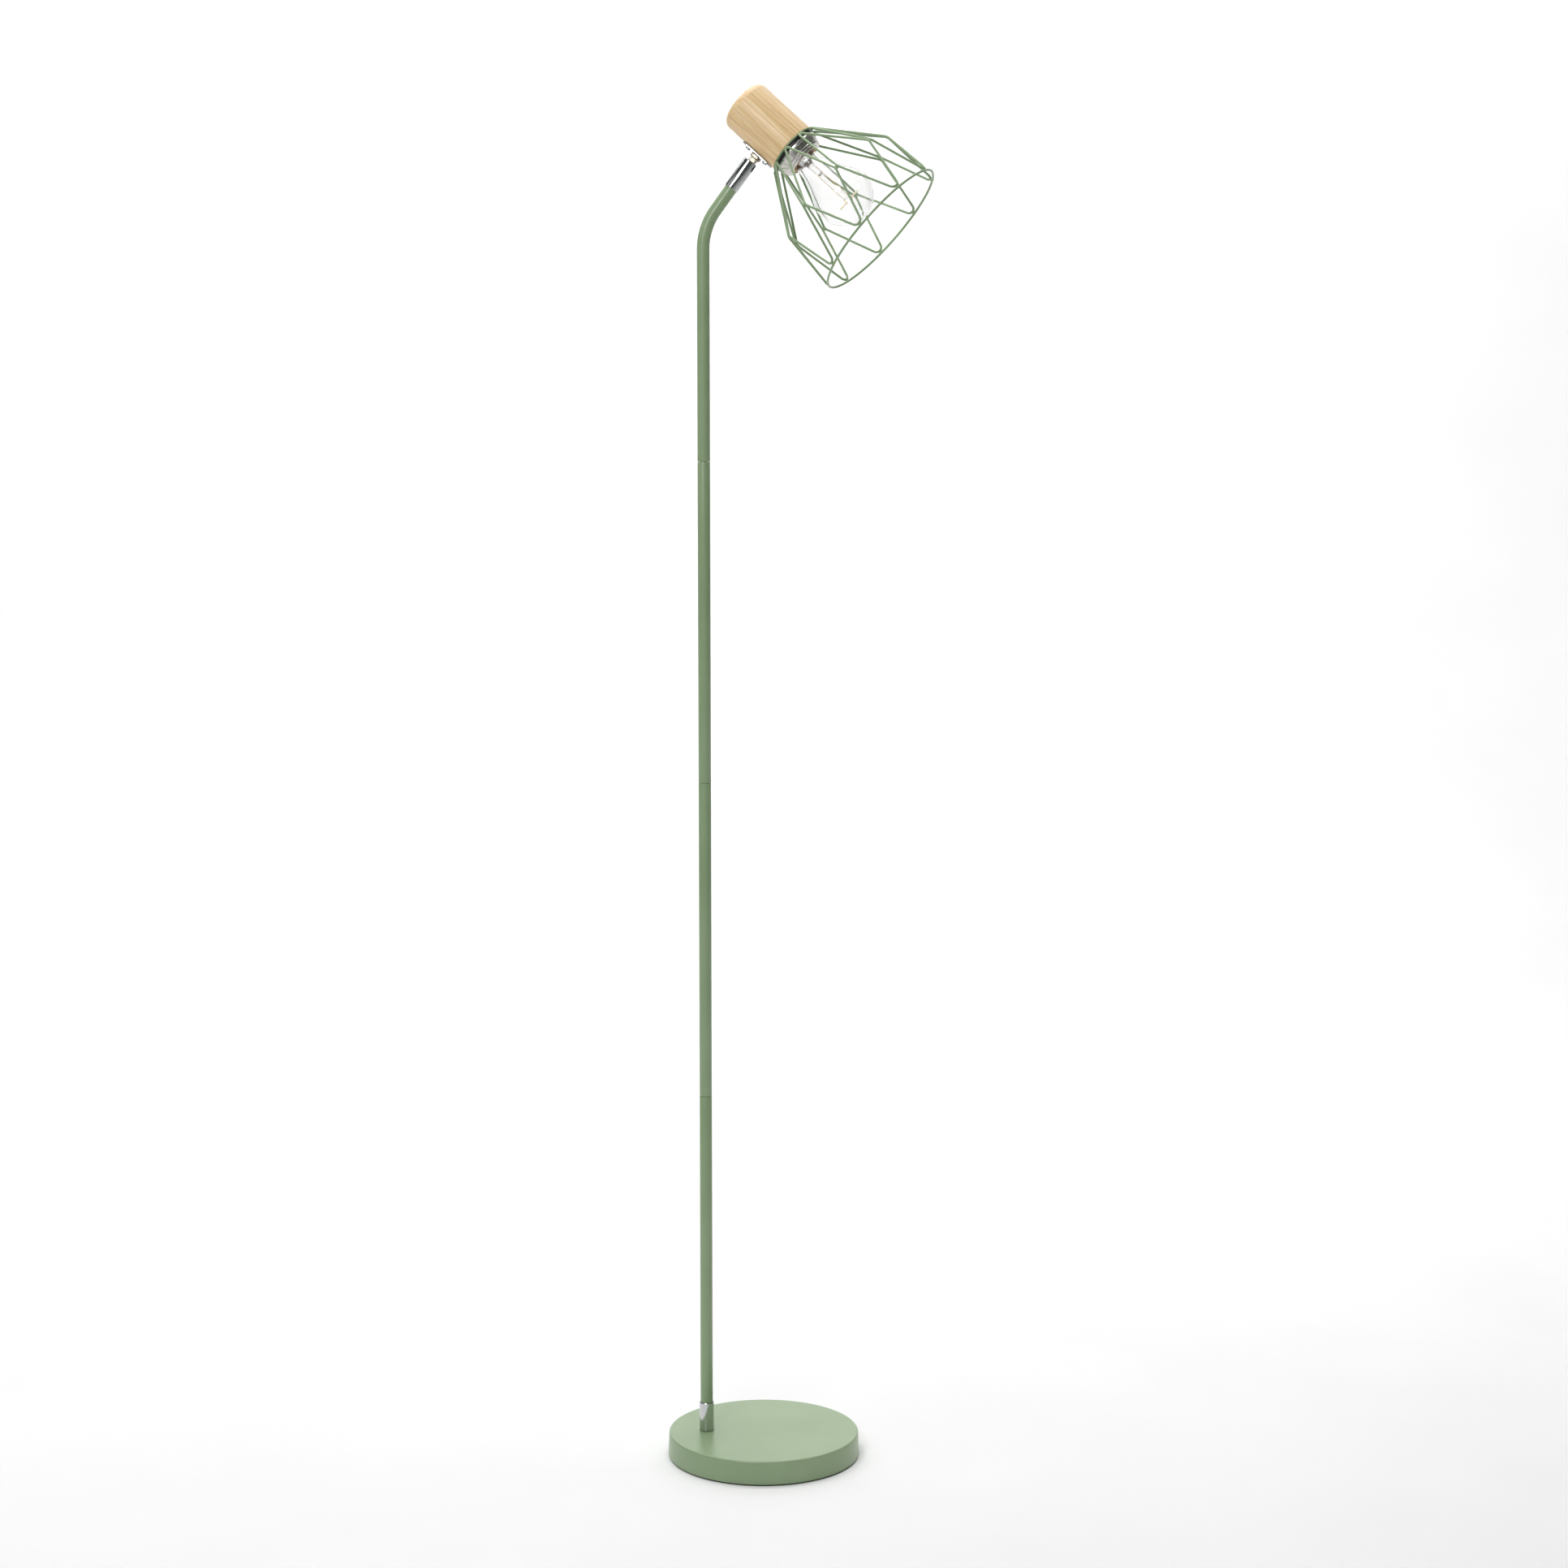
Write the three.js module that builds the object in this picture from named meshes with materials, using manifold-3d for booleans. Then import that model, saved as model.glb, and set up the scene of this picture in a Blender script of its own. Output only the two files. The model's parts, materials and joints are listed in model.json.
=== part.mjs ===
// Adjustable floor lamp: a round weighted base, a pole of screwed tube sections with a
// bent neck, and a wooden lampholder cup with a wire cage on a swivel and tilt knuckle.
// Millimetres, +Z up. The origin is the centre of the base's underside, and the lamp
// head points towards +X.
import * as THREE from 'three';
import { mergeVertices } from 'three/addons/utils/BufferGeometryUtils.js';
import Module from 'manifold-3d';

const wasm = await Module();
wasm.setup();

// ---------------------------------------------------------------- driving dimensions
const GAP = 0.3; // clearance between faces that meet
const RUN = 0.3; // radial clearance of anything that turns, slides or screws in

// Base
const BASE_RADIUS = 98.6; // at the foot of the side wall
const BASE_HEIGHT = 25.3; // floor to the top of the pressed shell
const BASE_DRAFT = 0.8; // radius lost up the side wall
const BASE_EDGE = 3; // rounding of the top edge
const SHELL_WALL = 1;
const PAD_THICKNESS = 1.2;
const PAD_INSET = 1.4; // pad radius short of the shell's
const STEM_RADIUS = 4; // hollow M8 stem that holds the pole to the base
const THREAD_BORE = 2.6; // cable way through every hollow stem and stud
const NUT_POCKET_HEIGHT = 10.5;
const NUT_POCKET_RADIUS = 13;
const NUT_HEIGHT = 5;
const NUT_RADIUS = 7.5; // across corners
const WASHER_RADIUS = 11;
const WASHER_THICKNESS = 1.5;
const CABLE_RADIUS = 3.1; // bore of the cable grommet
const GROMMET_BODY = 5.4; // radius in the shell's wall
const GROMMET_FLANGE = 8;
const GROMMET_FLANGE_THICKNESS = 2;
const CABLE_GROOVE = 9; // width of the cable way under the ballast
const CABLE_CLEARANCE = 2.5; // grommet flange above the foot of the shell
const STEM_TAIL = 1.5; // stem thread below its nut
const STEM_HEAD = 4; // and above the bush in the tube

// Pole
const POLE_OFFSET = 59; // pole axis behind the base centre
const TUBE_RADIUS = 6.35;
const TUBE_WALL = 0.8;
const FERRULE_HEIGHT = 30;
const FERRULE_WALL = 0.8;
const FERRULE_TAPER = 3; // height of the drawn-in top of the ferrule
const SECTION_LENGTH = 322.5; // pitch of the visible joints
const SECTION_COUNT = 3; // straight sections under the bent neck tube
const BUSH_LENGTH = 14;
const STUD_LENGTH = 24;

// Neck and swivel
const NECK_RISE = 208.7; // straight part of the neck tube
const NECK_BEND_RADIUS = 65;
const NECK_ANGLE = 36; // degrees from vertical after the bend
const NECK_REACH = 25.9; // straight part between the bend and the sleeve
const SLEEVE_LENGTH = 33;
const SLEEVE_WALL = 0.7;
const SLEEVE_OVERLAP = 12; // sleeve over the end of the neck tube
const SLEEVE_EDGE = 1.2;
const PIVOT_DEPTH = 7; // tilt pivot under the top of the sleeve
const SLOT_DEPTH = 9; // slot down one side of the sleeve
const SLOT_CLEARANCE = 0.4; // slot beside the tongue
const SHAFT_RADIUS = 3;
const SHAFT_BORE = 1.8;
const SHAFT_TAIL = 9; // shaft below the end bush
const FLANGE_THICKNESS = 3;
const CHEEK_THICKNESS = 1.8; // fork cheeks that carry the pivot pin
const CHEEK_HALF_WIDTH = 3.9;
const CHEEK_TOP = 3.4; // cheeks above the pivot
const PIN_RADIUS = 1.5;
const WAVE_WASHER = 1;
const RETAINER_HEIGHT = 3;

// Knuckle and mounting plate
const HEAD_SWIVEL = 11.9; // degrees, rest position turned towards -Y
const HEAD_TILT = 6.6; // degrees, rest position nosed down from square to the sleeve
const TONGUE_WIDTH = 5.4;
const TONGUE_BACK = 3; // tongue behind the pivot line
const TONGUE_INSET = 2.45; // tongue's front face inside the sleeve's bore
const EYE_RADIUS = 3.4;
const BLOCK_START = 11.2; // collar block above the pivot
const BLOCK_HALF = 4.4;
const PLATE_OFFSET = 15.3; // pivot to the outer face of the plate
const PLATE_LENGTH = 38.7;
const PLATE_WIDTH = 12;
const PLATE_THICKNESS = 1.2;
const SCREW_SPACING = 22.4;
const SCREW_RADIUS = 1.5;
const SCREW_BITE = 4; // thread in the wood
const SCREW_HEAD_RADIUS = 2.9;
const SCREW_HEAD_HEIGHT = 1.9;

// Wooden cup
const CUP_RADIUS = 26.7;
const CUP_LENGTH = 70.4;
const CUP_WALL = 4.7;
const CUP_DEPTH = 55;
const CUP_FILLET = 8;
const CUP_DOME = 1.5; // rise of the closed end
const RIM_CHAMFER = 0.6;
const RIM_REACH = 22.5; // pivot line to the cup's rim along the cup
const PILOT_FACETS = 12;

// Lampholder, measured along the cup from its rim
const BACKPLATE_THICKNESS = 1.2;
const NIPPLE_RADIUS = 4;
const LOCKNUT_HEIGHT = 4;
const LOCKNUT_RADIUS = 7.2;
const HOLDER_CLEARANCE = 2.3; // threaded skirt inside the cup's bore
const HOLDER_STEP = 4.7; // terminal chamber in from the skirt
const HOLDER_WALL = 3;
const SKIRT_CHAMFER = 2;
const SKIRT_START = -20;
const SKIRT_END = 15.8;
const SOCKET_FLOOR = -12;
const SOCKET_WALL = 0.6; // brass screw shell
const CONTACT_RADIUS = 4;
const SPRING_CONTACT = 3.4; // height of the socket's centre contact
const NIPPLE_TAIL = 2; // thread inside the terminal chamber
const COLLAR_THICKNESS = 1.2;
const WASHER_RING_THICKNESS = 2.9; // black insulating washer in front of the collar
const WASHER_RING_WIDTH = 4.6;
const SHADE_RING_FLANGE = 5.6; // widest part beyond the skirt
const SHADE_RING_RIM = 2.6; // height of its widest part
const SHADE_RING_NOSE = 1.7; // its front beyond the skirt
const SHADE_RING_MOUTH = 2.65; // its mouth beyond the bulb's cap
const SHADE_RING_LIP = 1.4;

// Cage
const WIRE_RADIUS = 1.2;
const LOOP_COUNT = 9;
const KNEE_RADIUS = 70.4;
const KNEE_DROP = 62.7; // knees ahead of the rim
const RING_RADIUS = 74.4;
const RING_DROP = 119.6;
const COLLAR_REACH = 0.9; // collar beyond the cup
const WIRE_FACETS = 6;
const RING_STEPS = 60;
const TOP_BEND = 2.2; // wire bend radii, on the wire's centre line
const KNEE_BEND = 6;
const TIP_BEND = 5;
const SEAM_SHARE = 0.12; // place of a loop's butt joint between its top and a knee

// Bulb
const BULB_RADIUS = 30.2;
const BULB_CENTRE = 69; // sphere centre ahead of the rim
const NECK_SWELL = 0.25; // neck of the glass beyond the cap
const BULB_NECK_END = 20;
const GLASS_WALL = 0.8;
const CAP_RADIUS = 13.15;
const CAP_WALL = 0.4;
const CAP_LENGTH = 20;
const CAP_INSULATOR = 2.9;
const CAP_CONTACT = 1.4;
const CAP_EDGE = 1.5; // rounded lower edge of the cap
const CAP_HOLE = 6; // hole for the insulator
const SEAT_DEPTH = 4; // glass inside the cap
const SPHERE_END = 118; // degrees from the tip where the glass leaves its sphere
const FLANK_PULL = 0.28;
// Glass mount that carries the filament: flare as [radius, height above its foot]
const MOUNT_FLARE = [[8, 0], [7, 2], [3.4, 8], [3.2, 20], [1.5, 24]];
const MOUNT_ROD = 1.4;
const MOUNT_BEAD = 2.2;
const FILAMENT_LENGTH = 24.6;
const FILAMENT_RADIUS = 0.9;
const FILAMENT_STANDOFF = 7.5; // filament bar ahead of the sphere centre

// Facets round a circle
const COARSE = 20;
const MEDIUM = 30;
const FINE = 56;

// ---------------------------------------------------------------- worked-out sizes
const rad = THREE.MathUtils.degToRad;
const vec = (x, y, z) => new THREE.Vector3(x, y, z);
const shellFoot = PAD_THICKNESS + GAP;
const shellCeiling = BASE_HEIGHT - SHELL_WALL;
const ballastRadius = BASE_RADIUS - BASE_DRAFT - SHELL_WALL - BASE_EDGE;
const tubeBore = TUBE_RADIUS - TUBE_WALL;
const ferruleTop = BASE_HEIGHT + GAP + FERRULE_HEIGHT;
const jointHeight = (index) => ferruleTop + SECTION_LENGTH * index;
const bendStart = jointHeight(SECTION_COUNT) + NECK_RISE;
const sleeveBore = TUBE_RADIUS + RUN;
const sleeveRadius = sleeveBore + SLEEVE_WALL;
const tongueFront = sleeveBore - TONGUE_INSET;
const grommetHeight = shellFoot + GROMMET_FLANGE + CABLE_CLEARANCE;
const cupBore = CUP_RADIUS - CUP_WALL;
const cupAxis = PLATE_OFFSET + PLATE_THICKNESS + GAP + CUP_RADIUS;
const skirtRadius = cupBore - HOLDER_CLEARANCE;
const holderRadius = skirtRadius - HOLDER_STEP;
const shadeMouth = CAP_RADIUS + SHADE_RING_MOUTH;
const collarRadius = CUP_RADIUS + COLLAR_REACH;
const bulbNeck = CAP_RADIUS + NECK_SWELL;
const contactTop = SOCKET_FLOOR + GAP + SPRING_CONTACT;
const capStart = contactTop + GAP * 3 + CAP_CONTACT + CAP_INSULATOR;
const backplateFront = -CUP_DEPTH + GAP + BACKPLATE_THICKNESS;
const holderRear = backplateFront + GAP + LOCKNUT_HEIGHT + GAP;
const shadeRingStart = GAP + COLLAR_THICKNESS + GAP + WASHER_RING_THICKNESS + GAP;

// ---------------------------------------------------------------- geometry helpers
// Points of the arc that rounds corner b of the path a-b-c.
function filletPoints(a, b, c, radius, steps) {
  const toA = a.clone().sub(b).normalize();
  const toC = c.clone().sub(b).normalize();
  const half = toA.angleTo(toC) / 2;
  const centre = toA.clone().add(toC).setLength(radius / Math.sin(half)).add(b);
  const start = b.clone().addScaledVector(toA, radius / Math.tan(half)).sub(centre);
  const end = b.clone().addScaledVector(toC, radius / Math.tan(half)).sub(centre);
  const axis = start.clone().cross(end).normalize();
  const turn = start.angleTo(end);
  const points = [];
  for (let i = 0; i <= steps; i += 1) {
    points.push(start.clone().applyAxisAngle(axis, (turn * i) / steps).add(centre));
  }
  return points;
}

// A path through corners, each { point, bend }, with its inner corners rounded.
function roundedPath(corners, stepAngle = 18) {
  const points = [corners[0].point];
  for (let i = 1; i < corners.length - 1; i += 1) {
    const [a, b, c] = [corners[i - 1].point, corners[i].point, corners[i + 1].point];
    const turn = 180 - THREE.MathUtils.radToDeg(a.clone().sub(b).angleTo(c.clone().sub(b)));
    const steps = Math.max(2, Math.ceil(turn / stepAngle));
    points.push(...filletPoints(a, b, c, corners[i].bend, steps));
  }
  points.push(corners[corners.length - 1].point);
  return points;
}

// A sweep path whose steps fall on its own points, so straight runs stay one facet long.
class BentPath extends THREE.Curve {
  constructor(points) {
    super();
    this.points = points;
  }

  getPoint(t, target = new THREE.Vector3()) {
    const place = t * (this.points.length - 1);
    const index = Math.min(Math.floor(place), this.points.length - 2);
    return target.lerpVectors(this.points[index], this.points[index + 1], place - index);
  }

  getPointAt(u, target) {
    return this.getPoint(u, target);
  }

  getTangentAt(u, target = new THREE.Vector3()) {
    const last = this.points.length - 1;
    const index = Math.round(u * last);
    const here = this.points[index];
    const before = here.clone().sub(this.points[Math.max(index - 1, 0)]).normalize();
    const after = this.points[Math.min(index + 1, last)].clone().sub(here).normalize();
    return target.copy(before).add(after).normalize();
  }
}

const sweep = (shape, points) =>
  new THREE.ExtrudeGeometry(shape, {
    steps: points.length - 1,
    curveSegments: shape.facets,
    extrudePath: new BentPath(points),
  });

function disc(radius, facets, hole = 0) {
  const shape = new THREE.Shape().absarc(0, 0, radius, 0, Math.PI * 2);
  shape.facets = facets;
  if (hole > 0) shape.holes.push(new THREE.Path().absarc(0, 0, hole, 0, Math.PI * 2));
  return shape;
}

// Turned solid about Z from corners [radius, z, fillet]. A profile either starts and ends
// on the axis or closes on itself.
function turned(corners, facets) {
  const count = corners.length;
  const at = (i) => {
    const corner = corners[(i + count) % count];
    return vec(corner[0], corner[1], 0);
  };
  let outline = [];
  corners.forEach((corner, i) => {
    if (corner[2]) outline.push(...filletPoints(at(i - 1), at(i), at(i + 1), corner[2], 4));
    else outline.push(at(i));
  });
  const area = outline.reduce((sum, p, i) => {
    const q = outline[(i + 1) % outline.length];
    return sum + p.x * q.y - q.x * p.y;
  }, 0);
  if (area < 0) outline = outline.reverse();
  if (outline[0].x > 0) outline.push(outline[0]);
  const profile = outline.map((p) => new THREE.Vector2(p.x, p.y));
  return new THREE.LatheGeometry(profile, facets).rotateX(Math.PI / 2);
}

const ring = (inner, outer, bottom, top, facets) =>
  turned([[inner, bottom], [outer, bottom], [outer, top], [inner, top]], facets);

const rod = (radius, bottom, top, facets) =>
  turned([[0, bottom], [radius, bottom], [radius, top], [0, top]], facets);

const block = (x0, x1, y0, y1, z0, z1) =>
  new THREE.BoxGeometry(x1 - x0, y1 - y0, z1 - z0)
    .translate((x0 + x1) / 2, (y0 + y1) / 2, (z0 + z1) / 2);

function hexNut(radius, bore, bottom, height) {
  const corners = Array.from({ length: 6 }, (_, i) =>
    new THREE.Vector2(radius * Math.cos(rad(60 * i)), radius * Math.sin(rad(60 * i))));
  const outline = new THREE.Shape(corners);
  outline.holes.push(new THREE.Path().absarc(0, 0, bore, 0, Math.PI * 2));
  return new THREE.ExtrudeGeometry(outline, {
    depth: height,
    bevelEnabled: false,
    curveSegments: COARSE,
  }).translate(0, 0, bottom);
}

// manifold-3d solids from closed geometry, and back.
function solid(geometry) {
  const bare = geometry.clone();
  bare.deleteAttribute('normal');
  bare.deleteAttribute('uv');
  const merged = mergeVertices(bare, 1e-4);
  const corners = merged.index.array;
  const triangles = [];
  for (let i = 0; i < corners.length; i += 3) {
    const [a, b, c] = [corners[i], corners[i + 1], corners[i + 2]];
    if (a !== b && b !== c && c !== a) triangles.push(a, b, c);
  }
  return new wasm.Manifold(new wasm.Mesh({
    numProp: 3,
    vertProperties: new Float32Array(merged.attributes.position.array),
    triVerts: new Uint32Array(triangles),
  }));
}

function surface(manifold) {
  const mesh = manifold.getMesh();
  const geometry = new THREE.BufferGeometry();
  geometry.setAttribute('position', new THREE.BufferAttribute(mesh.vertProperties, 3));
  geometry.setIndex(new THREE.BufferAttribute(mesh.triVerts, 1));
  geometry.computeVertexNormals();
  return geometry;
}

function cut(body, tools) {
  return surface(tools.reduce((rest, tool) => rest.subtract(solid(tool)), solid(body)));
}

function joinAndCut(bodies, tools) {
  const whole = bodies.map(solid).reduce((sum, piece) => sum.add(piece));
  return surface(tools.reduce((rest, tool) => rest.subtract(solid(tool)), whole));
}

// ---------------------------------------------------------------- finishes
const finish = (color, roughness, metalness) =>
  new THREE.MeshStandardMaterial({ color, roughness, metalness });

const FINISHES = {
  sagePaint: () => finish(0x9db48f, 0.5, 0.1),
  chrome: () => finish(0xd8dade, 0.12, 1),
  zincPlate: () => finish(0xa9abae, 0.4, 0.9),
  rubber: () => finish(0x151515, 0.85, 0),
  cement: () => finish(0x8d8a84, 0.9, 0),
  oak: () => finish(0xdcb987, 0.55, 0),
  blackPlastic: () => finish(0x1c1c1e, 0.45, 0),
  satinAluminium: () => finish(0xd2d3d5, 0.3, 0.9),
  brass: () => finish(0xb98a3e, 0.35, 0.95),
  glass: () => finish(0xf2f5f4, 0.03, 0),
  tungsten: () => finish(0xe9e2cf, 0.5, 0.3),
};

function piece(parent, name, geometry, look) {
  const mesh = new THREE.Mesh(geometry, FINISHES[look]());
  mesh.name = name;
  parent.add(mesh);
  return mesh;
}

// ---------------------------------------------------------------- base
function baseShell() {
  const shoulder = BASE_RADIUS - BASE_DRAFT;
  const body = turned([
    [0, BASE_HEIGHT],
    [shoulder, BASE_HEIGHT, BASE_EDGE],
    [BASE_RADIUS, shellFoot],
    [BASE_RADIUS - SHELL_WALL, shellFoot],
    [shoulder - SHELL_WALL, shellCeiling, BASE_EDGE - SHELL_WALL],
    [0, shellCeiling],
  ], FINE);
  const stemHole = rod(STEM_RADIUS + RUN, shellFoot, BASE_HEIGHT + 1, COARSE)
    .translate(-POLE_OFFSET, 0, 0);
  const cableHole = rod(GROMMET_BODY + RUN, BASE_RADIUS / 2, BASE_RADIUS + 1, COARSE)
    .rotateX(-Math.PI / 2).translate(0, 0, grommetHeight);
  return cut(body, [stemHole, cableHole]);
}

function ballast() {
  const bottom = shellFoot;
  const top = shellCeiling - GAP;
  const body = rod(ballastRadius, bottom, top, FINE);
  const below = bottom - 1;
  const stemHole = rod(STEM_RADIUS + RUN, below, top + 1, COARSE)
    .translate(-POLE_OFFSET, 0, 0);
  const nutPocket = rod(NUT_POCKET_RADIUS, below, bottom + NUT_POCKET_HEIGHT, MEDIUM)
    .translate(-POLE_OFFSET, 0, 0);
  const run = Math.hypot(POLE_OFFSET, BASE_RADIUS);
  const groove = block(0, run + CABLE_GROOVE, -CABLE_GROOVE / 2, CABLE_GROOVE / 2,
    below, grommetHeight + CABLE_RADIUS)
    .rotateZ(Math.atan2(BASE_RADIUS, POLE_OFFSET))
    .translate(-POLE_OFFSET, 0, 0);
  return cut(body, [stemHole, nutPocket, groove]);
}

function cableGrommet() {
  const wallOut = BASE_RADIUS + GAP;
  const wallIn = BASE_RADIUS - SHELL_WALL - GROMMET_FLANGE_THICKNESS;
  return turned([
    [CABLE_RADIUS, wallIn],
    [GROMMET_BODY, wallIn],
    [GROMMET_BODY, wallOut],
    [GROMMET_FLANGE, wallOut],
    [GROMMET_FLANGE, wallOut + GROMMET_FLANGE_THICKNESS, 0.8],
    [CABLE_RADIUS, wallOut + GROMMET_FLANGE_THICKNESS],
  ], COARSE).rotateX(-Math.PI / 2).translate(0, 0, grommetHeight);
}

function addBase(lamp) {
  const pocketTop = shellFoot + NUT_POCKET_HEIGHT;
  const washerBottom = pocketTop - GAP - WASHER_THICKNESS;
  const nutBottom = washerBottom - GAP - NUT_HEIGHT;
  const stemBottom = nutBottom - STEM_TAIL;
  const stemTop = BASE_HEIGHT + BUSH_LENGTH + STEM_HEAD;
  const bore = STEM_RADIUS + RUN;
  piece(lamp, 'base_pad', rod(BASE_RADIUS - PAD_INSET, 0, PAD_THICKNESS, FINE), 'rubber');
  piece(lamp, 'base_shell', baseShell(), 'sagePaint');
  piece(lamp, 'base_weight', ballast(), 'cement');
  piece(lamp, 'cable_grommet', cableGrommet(), 'rubber');
  const foot = new THREE.Group();
  foot.position.set(-POLE_OFFSET, 0, 0);
  lamp.add(foot);
  piece(foot, 'base_stem', ring(THREAD_BORE, STEM_RADIUS, stemBottom, stemTop, COARSE), 'zincPlate');
  piece(foot, 'stem_washer',
    ring(bore, WASHER_RADIUS, washerBottom, washerBottom + WASHER_THICKNESS, COARSE), 'zincPlate');
  piece(foot, 'stem_nut', hexNut(NUT_RADIUS, bore, nutBottom, NUT_HEIGHT), 'zincPlate');
}

// ---------------------------------------------------------------- pole
function ferrule() {
  const inner = TUBE_RADIUS + RUN;
  const outer = inner + FERRULE_WALL;
  const bottom = BASE_HEIGHT + GAP;
  return turned([
    [inner, bottom],
    [outer, bottom],
    [outer, ferruleTop - FERRULE_TAPER],
    [outer - FERRULE_WALL / 2, ferruleTop - FERRULE_TAPER / 4],
    [inner, ferruleTop],
  ], MEDIUM);
}

const bush = (bottom) =>
  ring(STEM_RADIUS + RUN, tubeBore - RUN, bottom, bottom + BUSH_LENGTH, COARSE);

function neckPoints() {
  const turn = rad(NECK_ANGLE);
  const corner = NECK_BEND_RADIUS * Math.tan(turn / 2);
  const direction = vec(Math.sin(turn), 0, Math.cos(turn));
  const bendCorner = vec(0, 0, bendStart + corner);
  const sleeveFoot = bendCorner.clone().addScaledVector(direction, corner + NECK_REACH);
  const tubeEnd = sleeveFoot.clone().addScaledVector(direction, SLEEVE_OVERLAP);
  return { direction, bendCorner, sleeveFoot, tubeEnd };
}

function neckTube() {
  const { bendCorner, tubeEnd } = neckPoints();
  const path = roundedPath([
    { point: vec(0, 0, jointHeight(SECTION_COUNT) + GAP / 2) },
    { point: bendCorner, bend: NECK_BEND_RADIUS },
    { point: tubeEnd },
  ], 3);
  return sweep(disc(TUBE_RADIUS, COARSE / 2, tubeBore), path);
}

function addPole(lamp) {
  const pole = new THREE.Group();
  pole.position.set(-POLE_OFFSET, 0, 0);
  lamp.add(pole);
  piece(pole, 'foot_ferrule', ferrule(), 'chrome');
  piece(pole, 'foot_bush', bush(BASE_HEIGHT + 2 * GAP), 'zincPlate');
  const names = ['pole_lower', 'pole_middle', 'pole_upper'];
  names.forEach((name, i) => {
    const bottom = i === 0 ? BASE_HEIGHT + GAP : jointHeight(i) + GAP / 2;
    const top = jointHeight(i + 1) - GAP / 2;
    piece(pole, name, ring(tubeBore, TUBE_RADIUS, bottom, top, COARSE), 'sagePaint');
  });
  for (let i = 1; i <= SECTION_COUNT; i += 1) {
    const z = jointHeight(i);
    piece(pole, `joint_bush_lower_${i}`, bush(z - GAP - BUSH_LENGTH), 'zincPlate');
    piece(pole, `joint_bush_upper_${i}`, bush(z + GAP), 'zincPlate');
    piece(pole, `joint_stud_${i}`,
      ring(THREAD_BORE, STEM_RADIUS, z - STUD_LENGTH / 2, z + STUD_LENGTH / 2, COARSE), 'zincPlate');
  }
  piece(pole, 'neck_tube', neckTube(), 'sagePaint');
  return pole;
}

// ---------------------------------------------------------------- swivel
// The swivel frame has its origin on the tilt pivot, +Z along the sleeve and +X on the
// slot's side.
const sleeveTop = PIVOT_DEPTH;
const sleeveFootLocal = PIVOT_DEPTH - SLEEVE_LENGTH;
const tubeEndLocal = sleeveFootLocal + SLEEVE_OVERLAP;

function slottedSleeve() {
  const body = turned([
    [sleeveBore, sleeveFootLocal],
    [sleeveRadius, sleeveFootLocal],
    [sleeveRadius, sleeveTop, SLEEVE_EDGE],
    [sleeveBore - SLEEVE_WALL, sleeveTop],
    [sleeveBore - SLEEVE_WALL, sleeveTop - SLEEVE_WALL],
    [sleeveBore, sleeveTop - SLEEVE_WALL],
  ], MEDIUM);
  const half = TONGUE_WIDTH / 2 + SLOT_CLEARANCE;
  const reach = sleeveRadius + 1;
  const slotEnd = sleeveTop - SLOT_DEPTH + half;
  const slot = block(0, reach, -half, half, slotEnd, sleeveTop + 1);
  const roundEnd = rod(half, 0, reach, COARSE).rotateY(Math.PI / 2).translate(0, 0, slotEnd);
  return joinAndCut([body], [slot, roundEnd]);
}

function swivelShaft() {
  const flangeBottom = tubeEndLocal + GAP;
  const flangeTop = flangeBottom + FLANGE_THICKNESS;
  const stem = turned([
    [0, tubeEndLocal - BUSH_LENGTH - SHAFT_TAIL],
    [SHAFT_RADIUS, tubeEndLocal - BUSH_LENGTH - SHAFT_TAIL],
    [SHAFT_RADIUS, flangeBottom],
    [sleeveBore - RUN, flangeBottom],
    [sleeveBore - RUN, flangeTop],
    [0, flangeTop],
  ], COARSE);
  const inside = TONGUE_WIDTH / 2 + RUN;
  const outside = inside + CHEEK_THICKNESS;
  const cheeks = [-1, 1].map((side) =>
    block(-CHEEK_HALF_WIDTH, CHEEK_HALF_WIDTH, Math.min(side * inside, side * outside),
      Math.max(side * inside, side * outside), flangeTop - GAP, CHEEK_TOP));
  const pinHole = rod(PIN_RADIUS + RUN, -sleeveBore, sleeveBore, COARSE).rotateX(Math.PI / 2);
  const wireWay = rod(SHAFT_BORE, tubeEndLocal - BUSH_LENGTH - SHAFT_TAIL - 1, flangeTop + 1, COARSE);
  return joinAndCut([stem, ...cheeks], [pinHole, wireWay]);
}

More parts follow.
